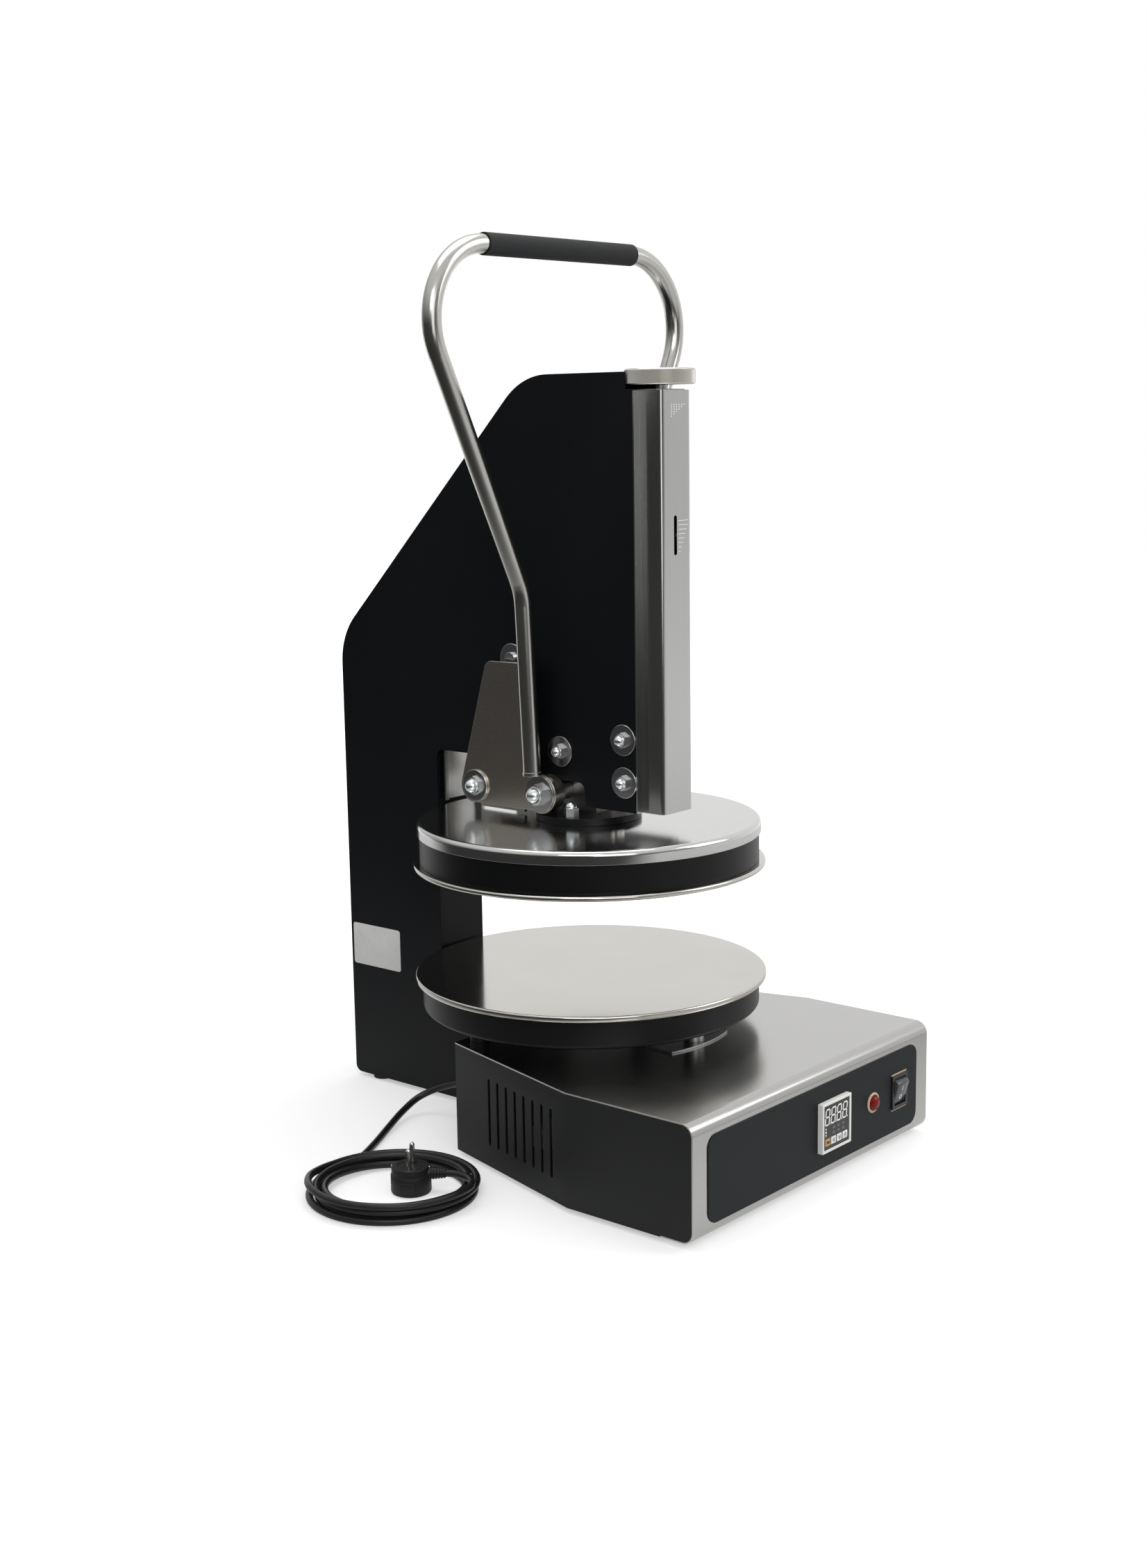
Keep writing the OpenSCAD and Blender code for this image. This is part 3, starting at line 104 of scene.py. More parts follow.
class Value:
    """One shader output that takes part in arithmetic; each operation adds a Math node."""

    def __init__(self, graph: "Graph", socket: bpy.types.NodeSocket) -> None:
        """Wraps a socket of a graph."""
        self.graph = graph
        self.socket = socket

    def maths(self, operation: str, first: Number, second: Number) -> "Value":
        """Adds one Math node.

        Args:
            operation: The Math node's operation.
            first: Its first number or value.
            second: Its second number or value.

        Returns:
            The node's result.
        """
        made = self.graph.node("ShaderNodeMath", {"operation": operation}, {0: first, 1: second})
        return Value(self.graph, made.outputs[0])

    def __add__(self, other: Number) -> "Value":
        """Sum."""
        return self.maths("ADD", self, other)

    def __radd__(self, other: Number) -> "Value":
        """Sum with a number in front."""
        return self.maths("ADD", other, self)

    def __sub__(self, other: Number) -> "Value":
        """Difference."""
        return self.maths("SUBTRACT", self, other)

    def __rsub__(self, other: Number) -> "Value":
        """Difference from a number in front."""
        return self.maths("SUBTRACT", other, self)

    def __mul__(self, other: Number) -> "Value":
        """Product."""
        return self.maths("MULTIPLY", self, other)

    def __rmul__(self, other: Number) -> "Value":
        """Product with a number in front."""
        return self.maths("MULTIPLY", other, self)

    def __pow__(self, other: Number) -> "Value":
        """Power."""
        return self.maths("POWER", self, other)

    def most(self, other: Number) -> "Value":
        """The larger of two."""
        return self.maths("MAXIMUM", self, other)

    def over(self, limit: float) -> "Value":
        """One where the value is over a limit, and zero elsewhere."""
        return self.maths("GREATER_THAN", self, limit)

    def swing(self, span: float) -> "Value":
        """The value's distance from one half, times a span."""
        return (self - 0.5) * span


class Graph:
    """A node tree that is filled node by node."""

    def __init__(self, tree: bpy.types.NodeTree) -> None:
        """Empties a tree and takes it over."""
        self.tree = tree
        self.tree.nodes.clear()

    def node(self, kind: str, settings: Optional[dict[str, Setting]] = None,
             inputs: Optional[dict[Union[str, int], object]] = None) -> bpy.types.Node:
        """Adds a node.

        Args:
            kind: The node's type.
            settings: Its own properties, set first.
            inputs: Numbers, vectors, colours or values for its sockets, by name or place.

        Returns:
            The node.
        """
        made = self.tree.nodes.new(kind)
        for name, setting in (settings or {}).items():
            setattr(made, name, setting)
        for key, given in (inputs or {}).items():
            if isinstance(given, Value):
                self.tree.links.new(given.socket, made.inputs[key])
            else:
                made.inputs[key].default_value = given
        return made

    def value(self, made: bpy.types.Node, output: Union[str, int] = 0) -> Value:
        """One output of a node as a value."""
        return Value(self, made.outputs[output])

    def place(self) -> Value:
        """Object coordinates: a place on a piece, or a direction of the surround."""
        return self.value(self.node("ShaderNodeTexCoord"), "Object")

    def parts(self, vector: Value) -> tuple[Value, Value, Value]:
        """X, Y and Z of a vector."""
        split = self.node("ShaderNodeSeparateXYZ", inputs={0: vector})
        return tuple(self.value(split, i) for i in range(3))


class Shader(Graph):
    """A material's tree with one Principled shader."""

    def __init__(self, name: str) -> None:
        """Makes the material and its shader.

        Args:
            name: Name of the material.
        """
        self.material = bpy.data.materials.new(name)
        self.material.use_nodes = True
        super().__init__(self.material.node_tree)
        self.surface = self.node("ShaderNodeBsdfPrincipled")
        self.node("ShaderNodeOutputMaterial", inputs={"Surface": self.value(self.surface)})
        self.coords = self.place()

    def constant(self, numbers: dict[str, float]) -> None:
        """Sets sockets of the shader that are the same all over."""
        for name, number in numbers.items():
            self.surface.inputs[name].default_value = number

    def feed(self, name: str, given: Value) -> None:
        """Links a value to one of the shader's sockets."""
        self.tree.links.new(given.socket, self.surface.inputs[name])

    def noise(self, scale: float, detail: float = 2.0, stretch: Sequence[float] = (1.0, 1.0, 1.0)) -> Value:
        """A noise pattern on Object coordinates.

        Args:
            scale: Marks per metre.
            detail: Octaves.
            stretch: Share of the scale along X, Y and Z.

        Returns:
            The pattern, around one half.
        """
        mapped = self.node("ShaderNodeMapping", inputs={
            "Vector": self.coords, "Scale": [scale * part for part in stretch]})
        made = self.node("ShaderNodeTexNoise", inputs={
            "Vector": self.value(mapped), "Scale": 1.0, "Detail": detail, "Roughness": NOISE_ROUGHNESS})
        return self.value(made)

    def rings(self, scale: float, centre: Sequence[float]) -> Value:
        """A noise pattern that runs in rings about an upright axis.

        Args:
            scale: Rings per metre.
            centre: The axis' X and Y in millimetres about the plates' axis.

        Returns:
            The pattern, around one half.
        """
        x, y, _ = self.parts(self.coords)
        across = x - centre[0] * MM
        deep = y - (centre[1] + AXIS_Y) * MM
        radius = (across * across + deep * deep) ** 0.5
        made = self.node("ShaderNodeTexNoise", {"noise_dimensions": "1D"}, {
            "W": radius * scale, "Scale": 1.0, "Detail": RING_DETAIL})
        return self.value(made)

    def tint(self, factor: Value, low: Colour, high: Colour) -> Value:
        """A colour between two others."""
        made = self.node("ShaderNodeMix", {"data_type": "RGBA"}, {0: factor, 6: rgba(low), 7: rgba(high)})
        return self.value(made, 2)

    def relief(self, height: Value, strength: float, depth: float) -> None:
        """Fine relief on the surface.

        Args:
            height: Pattern of the relief.
            strength: Share of the relief that shows.
            depth: Its depth in metres.
        """
        made = self.node("ShaderNodeBump", inputs={
            "Strength": strength, "Distance": depth, "Height": height})
        self.feed("Normal", self.value(made))


MADE: dict[str, bpy.types.Material] = {}


@dataclass(frozen=True)
class Finish:
    """A finish: what is the same all over it, and how it varies."""

    name: str
    colour: Colour
    roughness: float
    metallic: float = 0.0
    specular: float = 0.5

    def material(self) -> bpy.types.Material:
        """The finish's material, made when it is first asked for.

        Returns:
            The material.
        """
        if self.name not in MADE:
            shader = Shader(self.name)
            shader.constant({"Metallic": self.metallic, "Specular IOR Level": self.specular})
            self.vary(shader)
            MADE[self.name] = shader.material
        return MADE[self.name]

    def shades(self, spread: float) -> tuple[Colour, Colour]:
        """The colour made darker and lighter by a spread."""
        return shade(self.colour, 1.0 - spread), shade(self.colour, 1.0 + spread)

    def vary(self, shader: Shader) -> None:
        """Feeds the colour, roughness and relief of the shader."""
        raise NotImplementedError


@dataclass(frozen=True)
class Paint(Finish):
    """Powder paint or moulded plastic: a fine skin with faint clouds."""

    speck: float = 2400.0
    relief: float = 0.12
    cloud: float = 9.0
    spread: float = 0.2
    speck_gloss: float = 0.12
    cloud_gloss: float = 0.1
    skin_depth: float = 0.0002

    def vary(self, shader: Shader) -> None:
        """Specks in the skin, and clouds in tone and gloss.

        Args:
            shader: The finish's shader.
        """
        speck = shader.noise(self.speck)
        cloud = shader.noise(self.cloud, 3.0)
        shader.feed("Base Color", shader.tint(speck * 0.5 + cloud * 0.5, *self.shades(self.spread)))
        shader.feed("Roughness", self.roughness + speck.swing(self.speck_gloss)
                    + cloud.swing(self.cloud_gloss))
        shader.relief(speck, self.relief, self.skin_depth)


@dataclass(frozen=True)
class Brushed(Finish):
    """Ground or drawn metal with marks along one direction."""

    metallic: float = 1.0
    grain: Grain = Grain.ALONG_X
    marks: float = 3600.0
    broad_marks: float = 0.12
    relief: float = 0.03
    spread: float = 0.12
    tone_spread: float = 0.08
    tone_shares: tuple[float, float, float] = (0.55, 0.3, 0.15)
    relief_shares: tuple[float, float] = (0.7, 0.3)
    cloud: float = 6.0
    cloud_gloss: float = 0.1
    mark_depth: float = 0.0003

    def vary(self, shader: Shader) -> None:
        """Fine and broad marks in tone, gloss and relief.

        Args:
            shader: The finish's shader.
        """
        fine = shader.noise(self.marks, 3.0, self.grain.value)
        broad = shader.noise(self.marks * self.broad_marks, 2.0, self.grain.value)
        cloud = shader.noise(self.cloud)
        fine_tone, broad_tone, cloud_tone = self.tone_shares
        fine_relief, broad_relief = self.relief_shares
        tone = fine * fine_tone + broad * broad_tone + cloud * cloud_tone
        shader.feed("Base Color", shader.tint(tone, *self.shades(self.tone_spread)))
        shader.feed("Roughness", self.roughness + fine.swing(self.spread) + cloud.swing(self.cloud_gloss))
        shader.relief(fine * fine_relief + broad * broad_relief, self.relief, self.mark_depth)


@dataclass(frozen=True)
class Turned(Finish):
    """Metal turned or polished in rings about an upright axis."""

    metallic: float = 1.0
    centre: tuple[float, float] = (0.0, 0.0)
    marks: float = 1500.0
    relief: float = 0.03
    stain: float = 0.1
    cloud: float = 11.0
    ring_share: float = 0.4
    ring_gloss: float = 0.08
    cloud_gloss: float = 0.12
    ring_depth: float = 0.0002
    bloom: Colour = (1.0, 1.0, 1.0)

    def vary(self, shader: Shader) -> None:
        """Rings, with clouds of heat and handling over them.

        Args:
            shader: The finish's shader.
        """
        ring = shader.rings(self.marks, self.centre)
        cloud = shader.noise(self.cloud, 4.0)
        low, high = self.shades(self.stain)
        high = tuple(part * share for part, share in zip(high, self.bloom))
        tone = ring * self.ring_share + cloud * (1.0 - self.ring_share)
        shader.feed("Base Color", shader.tint(tone, low, high))
        shader.feed("Roughness", self.roughness + ring.swing(self.ring_gloss)
                    + cloud.swing(self.cloud_gloss))
        shader.relief(ring, self.relief, self.ring_depth)


@dataclass(frozen=True)
class PaintedShadeBehind(Finish):
    """Drawn metal in front of a line across the object, and a dull black painted shade behind it."""

    metallic: float = 1.0
    line: float = 0.0
    # Dull black painted shade for the rear posts, which sit in shade under the pan.
    painted_shade_colour: Colour = (0.006, 0.006, 0.007)
    painted_shade_rougher: float = 0.2
    marks: float = 1800.0
    mark_gloss: float = 0.12
    relief: float = 0.02
    mark_depth: float = 0.0002

    def vary(self, shader: Shader) -> None:
        """Fine marks, and the change from metal to the dull black painted shade at the line.

        Args:
            shader: The finish's shader.
        """
        mark = shader.noise(self.marks, 3.0, Grain.ALONG_Z.value)
        _, deep, _ = shader.parts(shader.coords)
        # Behind the line the colour turns dull black: painted shade on the rear posts under the pan.
        in_painted_shade = deep.over((self.line + AXIS_Y) * MM)
        shader.feed("Base Color", shader.tint(in_painted_shade, self.colour, self.painted_shade_colour))
        shader.feed("Metallic", 1.0 - in_painted_shade)
        shader.feed("Roughness", self.roughness + in_painted_shade * self.painted_shade_rougher + mark.swing(self.mark_gloss))
        shader.relief(mark, self.relief, self.mark_depth)


STAINLESS = Brushed("brushed_stainless", (0.54, 0.535, 0.52), 0.2)
STAINLESS_UPRIGHT = Brushed("brushed_stainless_upright", (0.55, 0.55, 0.54), 0.17, grain=Grain.ALONG_Z)
BRACKET_STEEL = Brushed("bracket_stainless", (0.46, 0.46, 0.45), 0.22, grain=Grain.ALONG_Z, relief=0.015)
CRANK_STEEL = Brushed("crank_plate_steel", (0.60, 0.55, 0.49), 0.28, grain=Grain.ALONG_Y, marks=4200.0,
                      relief=0.002, spread=0.03)
BLACK_PAINT = Paint("black_powder_paint", (0.0040, 0.0047, 0.0060), 0.40, specular=0.18, speck=1500.0,
                    relief=0.2)
BASE_PAINT = Paint("charcoal_powder_paint", (0.0095, 0.010, 0.0105), 0.5, specular=0.3, speck=1500.0,
                   relief=0.2)
PANEL_PAINT = Paint("anthracite_panel_film", (0.0105, 0.0126, 0.0138), 0.5, specular=0.2, speck=1600.0,
                    relief=0.05)
PAN_PAINT = Paint("black_pan_enamel", (0.0036, 0.0038, 0.0044), 0.36, specular=0.25)
PLATE_METAL = Turned("warm_plate_metal", (0.63, 0.605, 0.555), 0.11, marks=700.0, stain=0.13,
                     bloom=(0.99, 1.0, 1.03))
CAP_METAL = Turned("polished_cap", (0.66, 0.66, 0.65), 0.14, marks=900.0, stain=0.06, relief=0.012)
TUBE_METAL = Brushed("polished_tube", (0.57, 0.56, 0.53), 0.21, grain=Grain.ALONG_Z, marks=700.0,
                     relief=0.004, spread=0.05)
ZINC = Brushed("bright_zinc", (0.84, 0.87, 0.88), 0.22, marks=1200.0, relief=0.012, spread=0.1)
WASHER_ZINC = Brushed("washer_zinc", (0.60, 0.60, 0.60), 0.2, grain=Grain.ALONG_Y, marks=900.0,
                      relief=0.015)
SHAFT_STEEL = Brushed("ground_shaft", (0.58, 0.56, 0.53), 0.34, grain=Grain.ALONG_Y, marks=2200.0)
MACHINED = Brushed("machined_steel", (0.42, 0.42, 0.42), 0.32, grain=Grain.ALONG_Z)
# The front post shows bare metal; the rear posts get a dull black painted shade.
POST_METAL = PaintedShadeBehind("post_metal", (0.42, 0.42, 0.42), 0.32)
GUIDE_METAL = Brushed("guide_block_metal", (0.33, 0.33, 0.33), 0.36)
KNURL_STEEL = Brushed("knurled_steel", (0.59, 0.575, 0.53), 0.34, grain=Grain.ALONG_Z, marks=1500.0)
BRASS = Brushed("stop_nut_brass", (0.6, 0.44, 0.2), 0.32)
HEATER = Paint("heater_sheath", (0.08, 0.083, 0.09), 0.6, metallic=1.0)
GRIP_FOAM = Paint("grip_foam", (0.020, 0.0205, 0.022), 0.8, specular=0.35, speck=1500.0, relief=0.35)
FOOT_RUBBER = Paint("foot_rubber", (0.012, 0.012, 0.012), 0.75, speck=900.0, relief=0.2)
LEAD_PVC = Paint("lead_sheath", (0.009, 0.009, 0.0095), 0.36, specular=0.4, speck=500.0, relief=0.06)
PLUG_PVC = Paint("plug_moulding", (0.011, 0.011, 0.0115), 0.45, specular=0.35, speck=1800.0, relief=0.1)
SWITCH_BLACK = Paint("switch_black", (0.013, 0.013, 0.0135), 0.3, speck=2000.0, relief=0.04)
ROCKER_GREY = Paint("rocker_charcoal", (0.040, 0.043, 0.047), 0.24, specular=0.7, speck=1700.0,
                    relief=0.03)
BEZEL_GREY = Paint("controller_bezel", (0.80, 0.80, 0.77), 0.42, speck=1200.0, relief=0.04)
FACE_BLACK = Paint("controller_face", (0.022, 0.022, 0.022), 0.25, speck=900.0, relief=0.02)
DIGIT_WHITE = Paint("digit_print", (0.90, 0.90, 0.88), 0.5, speck=1500.0, relief=0.02)
DIM_PRINT = Paint("dim_print", (0.14, 0.145, 0.14), 0.5, speck=1500.0, relief=0.02)
KEY_WHITE = Paint("white_key", (0.80, 0.80, 0.78), 0.4, speck=1100.0, relief=0.04)
KEY_AMBER = Paint("amber_key", (0.52, 0.30, 0.09), 0.4, speck=1100.0, relief=0.04)
LAMP_RIM = Paint("lamp_rim", (0.52, 0.39, 0.27), 0.4, speck=1300.0, relief=0.03)
LAMP_RED = Paint("red_lens", (0.17, 0.003, 0.004), 0.14, specular=0.25, speck=700.0, relief=0.3)
CERAMIC = Paint("terminal_ceramic", (0.66, 0.63, 0.53), 0.5, speck=800.0, relief=0.1)
PIN_METAL = Brushed("plug_pin_metal", (0.66, 0.65, 0.62), 0.16, grain=Grain.ALONG_Z, marks=900.0,
                    relief=0.01)
STICKER = Paint("blank_sticker", (0.66, 0.66, 0.65), 0.45, speck=700.0, relief=0.02, cloud=40.0)
SCALE_MARK = Paint("etched_mark", (0.95, 0.95, 0.94), 0.7, speck=1500.0, relief=0.05)

# Solids by finish, with the width of their broken edges in millimetres.
NODE_FINISHES: dict[Finish, tuple[float, tuple[str, ...]]] = {
    STAINLESS: (0.35, ("base_cover",)),
    STAINLESS_UPRIGHT: (0.3, ("head_cover",)),
    BRACKET_STEEL: (0.4, ("fulcrum_bracket",)),
    CRANK_STEEL: (0.4, ("crank_left", "crank_right")),
    BLACK_PAINT: (0.4, ("column_side_left", "column_side_right", "column_cover", "spine_plate")),
    BASE_PAINT: (0.3, ("base_side_left", "base_side_right", "base_rear_wall", "base_floor")),
    PAN_PAINT: (0.6, ("lower_pan", "upper_band", "puck", "gas_cylinder")),
    PANEL_PAINT: (0.25, ("control_plate",)),
    PLATE_METAL: (1.8, ("lower_disc", "upper_disc")),
    CAP_METAL: (0.3, ("upper_cap",)),
    TUBE_METAL: (0.3, ("handle_tube", "gas_rod")),
    ZINC: (0.3, ("head_nuts", "puck_nuts", "pivot_nuts", "bracket_screws")),
    WASHER_ZINC: (0.5, ("head_washers", "washers_a", "washers_b")),
    SHAFT_STEEL: (0.4, ("shaft_a", "shaft_b", "pivot_bushes")),
    MACHINED: (0.4, ("ram_bar", "thickness_screw", "screw_bearing")),
    POST_METAL: (0.4, ("pan_posts",)),
    GUIDE_METAL: (0.4, ("lower_guide", "upper_guide")),
    KNURL_STEEL: (0.0, ("thickness_wheel",)),
    BRASS: (0.3, ("stop_nut",)),
    HEATER: (0.5, ("lower_heater", "upper_heater")),
    GRIP_FOAM: (0.8, ("handle_grip",)),
    FOOT_RUBBER: (0.8, ("feet",)),
    LEAD_PVC: (0.0, ("cord_lead", "cord_coil")),
    PLUG_PVC: (0.0, ("plug_body", "cord_gland")),
    SWITCH_BLACK: (0.4, ("switch_bezel", "switch_rocker")),
    BEZEL_GREY: (0.5, ("controller",)),
    KEY_WHITE: (0.6, ("key_left", "key_down", "key_up")),
    KEY_AMBER: (0.6, ("key_mode",)),
    LAMP_RIM: (0.5, ("lamp_ring",)),
    LAMP_RED: (0.0, ("lamp_lens",)),
    CERAMIC: (0.5, ("terminal_block",)),
    PIN_METAL: (0.3, ("plug_pins",)),
}


def dress(node: str, finish: Finish, edge: float) -> None:
    """Gives a solid its finish, smooth curves and slightly broken edges.

    Args:
        node: Name of the solid.
        finish: Its finish.
        edge: Width of the broken edges in millimetres, or 0 for none.
    """
    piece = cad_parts[node]
    mesh = piece.data
    mesh.materials.clear()
    mesh.materials.append(finish.material())
    mesh.polygons.foreach_set("use_smooth", [True] * len(mesh.polygons))
    if "custom_normal" in mesh.attributes:
        mesh.attributes.remove(mesh.attributes["custom_normal"])
    joined = piece.modifiers.new("joined", "WELD")
    joined.merge_threshold = JOIN_GAP
    flat = piece.modifiers.new("flat", "DECIMATE")
    flat.decimate_type = "DISSOLVE"
    flat.angle_limit = FLAT_ANGLE
    if edge:
        broken = piece.modifiers.new("broken_edge", "BEVEL")
        broken.width = edge * MM
        broken.segments = BROKEN_EDGE_STEPS
        broken.limit_method = "ANGLE"
        broken.angle_limit = FACET_ANGLE
        rejoined = piece.modifiers.new("rejoined", "WELD")
        rejoined.merge_threshold = JOIN_GAP
    split = piece.modifiers.new("facets", "EDGE_SPLIT")
    split.split_angle = FACET_ANGLE
    if edge:
        even = piece.modifiers.new("even_faces", "WEIGHTED_NORMAL")
        even.weight = FACE_WEIGHT
        even.keep_sharp = True
    LOG.info("dressed %s with %s", node, finish.name)


def raise_faces(made: bmesh.types.BMesh, thick: float) -> None:
    """Gives flat faces a thickness along own Z.

    Args:
        made: The mesh under way, with flat faces only.
        thick: The thickness.
    """
    risen = bmesh.ops.extrude_face_region(made, geom=made.faces[:])["geom"]
    upper = [item for item in risen if isinstance(item, bmesh.types.BMVert)]
    bmesh.ops.translate(made, vec=(0.0, 0.0, thick), verts=upper)


def round_edges(made: bmesh.types.BMesh, edges: Sequence[bmesh.types.BMEdge], width: float) -> None:
    """Rounds some of a mesh's edges.

    Args:
        made: The mesh under way.
        edges: The edges.
        width: Width of the rounding.
    """
    bmesh.ops.bevel(made, geom=edges, offset=width, offset_type="OFFSET", segments=EDGE_STEPS, profile=0.5,
                    affect="EDGES", material=-1)


@dataclass(frozen=True)
class Slab:
    """A flat plate on own Z from 0, with the radius of its corners and the rounding of its upper edge."""

    wide: float
    tall: float
    thick: float
    corner: float = 0.0
    edge: float = 0.0

    def mesh(self) -> bmesh.types.BMesh:
        """The plate's mesh, with rounded corners and a rounded upper edge where it has them.

        Returns:
            The mesh.
        """
        made = bmesh.new()
        bmesh.ops.create_grid(made, x_segments=1, y_segments=1, size=0.5)
        bmesh.ops.scale(made, vec=(self.wide, self.tall, 1.0), verts=made.verts[:])
        if self.corner:
            bmesh.ops.bevel(made, geom=made.verts[:], offset=self.corner, offset_type="OFFSET",
                            segments=CORNER_STEPS, profile=0.5, affect="VERTICES", material=-1)
        raise_faces(made, self.thick)
        if self.edge:
            rim = [e for e in made.edges if all(abs(v.co.z - self.thick) < SAME_PLACE for v in e.verts)]
            round_edges(made, rim, self.edge)
        return made


def spun_mesh(profile: Sequence[tuple[float, float]], steps: int = 72,
              closed: bool = False) -> bmesh.types.BMesh:
    """A profile turned about own Z.

    Args:
        profile: Radius and height of its points.
        steps: Steps of the full turn.
        closed: Whether the last point joins the first.

    Returns:
        The turned shape.
    """
    made = bmesh.new()
    verts = [made.verts.new((radius, 0.0, height)) for radius, height in profile]
    pairs = list(zip(verts, verts[1:])) + ([(verts[-1], verts[0])] if closed else [])
    edges = [made.edges.new(pair) for pair in pairs]
    bmesh.ops.spin(made, geom=verts + edges, cent=(0.0, 0.0, 0.0), axis=(0.0, 0.0, 1.0), angle=math.tau,
                   steps=steps, use_merge=True, use_duplicate=False)
    bmesh.ops.remove_doubles(made, verts=made.verts[:], dist=SAME_PLACE)
    return made


def prism_mesh(outline: Sequence[tuple[float, float]], thick: float,
               edge: float = 0.0) -> bmesh.types.BMesh:
    """An outline in own X and Y, given a thickness along own Z.

    Args:
        outline: Its corners.
        thick: Its thickness.
        edge: Rounding of all its edges, or 0.

    Returns:
        The prism.
    """
    made = bmesh.new()
    made.faces.new([made.verts.new((x, y, 0.0)) for x, y in outline])
    raise_faces(made, thick)
    if edge:
        round_edges(made, made.edges[:], edge)
    return made


@dataclass(frozen=True)
class Ribs:
    """Ribs of a tapered sleeve, as a part of its profile."""

    start: float
    pitch: float
    wide: float
    taper: float
    depth: float
    crest: tuple[float, float]
    groove: tuple[float, float]
    count: int = 6

    def profile(self) -> list[tuple[float, float]]:
        """The ribs' part of a profile, from the widest rib on.

        Returns:
            Radius and height of its points.
        """
        found = []
        for i in range(self.count):
            low, wide = self.start + self.pitch * i, self.wide - self.taper * i
            found += [(wide, low + rise) for rise in self.crest]
            found += [(wide - self.depth, low + rise) for rise in self.groove]
        return found


class Shape:
    """A piece under way, in millimetres about the axis of the hot plates."""

    def __init__(self) -> None:
        """Starts with nothing."""
        self.mesh = bmesh.new()

    def add(self, part: bmesh.types.BMesh, at: Matrix) -> None:
        """Puts a part into the piece, with its faces turned outwards.

        Args:
            part: The part, which is used up.
            at: Where it goes.
        """
        bmesh.ops.transform(part, matrix=at, verts=part.verts[:])
        bmesh.ops.recalc_face_normals(part, faces=part.faces[:])
        held = bpy.data.meshes.new("held")
        part.to_mesh(held)
        part.free()
        self.mesh.from_mesh(held)
        bpy.data.meshes.remove(held)

    def piece(self, name: str, finish: Finish, body: Body, slot: str, replaces: Sequence[str] = (),
              smooth: bool = True) -> bpy.types.Object:
        """Makes the finished piece.

        Args:
            name: Name of the piece.
            finish: Its finish.
            body: The body that it rides on.
            slot: A material slot of the record; not used.
            replaces: Solids that it stands for.
            smooth: Whether its curves are shaded smooth.

        Returns:
            The piece's object.
        """
        bmesh.ops.transform(self.mesh, matrix=TO_FRAME, verts=self.mesh.verts[:])
        data = bpy.data.meshes.new(name)
        self.mesh.to_mesh(data)
        self.mesh.free()
        data.polygons.foreach_set("use_smooth", [smooth] * len(data.polygons))
        data.materials.append(finish.material())
        made = bpy.data.objects.new(name, data)
        bpy.context.scene.collection.objects.link(made)
        if smooth:
            split = made.modifiers.new("facets", "EDGE_SPLIT")
            split.split_angle = FACET_ANGLE
        settle(made, body, replaces)
        return made


def settle(piece: bpy.types.Object, body: Body, replaces: Sequence[str] = ()) -> None:
    """Gives a new piece its body and the solids that it stands for.

    Args:
        piece: The piece's object.
        body: The body that it rides on.
        replaces: Solids that it stands for.
    """
    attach(piece, body.value)
    if replaces:
        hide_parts(*replaces)
    LOG.info("made %s on %s", piece.name, body.value)


def turned(axis: str, degrees: float) -> Matrix:
    """A turn about one axis."""
    return Matrix.Rotation(math.radians(degrees), 4, axis)


def shift(x: float, y: float, z: float) -> Matrix:
    """A move in millimetres."""
    return Matrix.Translation((x, y, z))


@dataclass(frozen=True)
class Ramp:
    """A value's way from one range to another, held at its ends."""

    start: float
    end: float
    low: float
    high: float

    def of(self, given: Value) -> Value:
        """Carries a value over.

        Args:
            given: The value.

        Returns:
            The value in its new range.
        """
        return given.graph.value(given.graph.node("ShaderNodeMapRange", inputs={
            "Value": given, "From Min": self.start, "From Max": self.end, "To Min": self.low,
            "To Max": self.high}))


@dataclass(frozen=True)
class Softbox:
    """One soft lamp: its place and aim in metres, its face's width and height, and its power in watts."""

    name: str
    at: tuple[float, float, float]
    aim: tuple[float, float, float]
    size: tuple[float, float]
    power: float

    def build(self) -> None:
        """Hangs the lamp."""
        data = bpy.data.lights.new(self.name, "AREA")
        data.shape = "RECTANGLE"
        data.size, data.size_y = self.size
        data.energy = self.power
        made = bpy.data.objects.new(self.name, data)
        made.location = self.at
        made.rotation_euler = (Vector(self.at) - Vector(self.aim)).to_track_quat("Z", "Y").to_euler()
        bpy.context.scene.collection.objects.link(made)


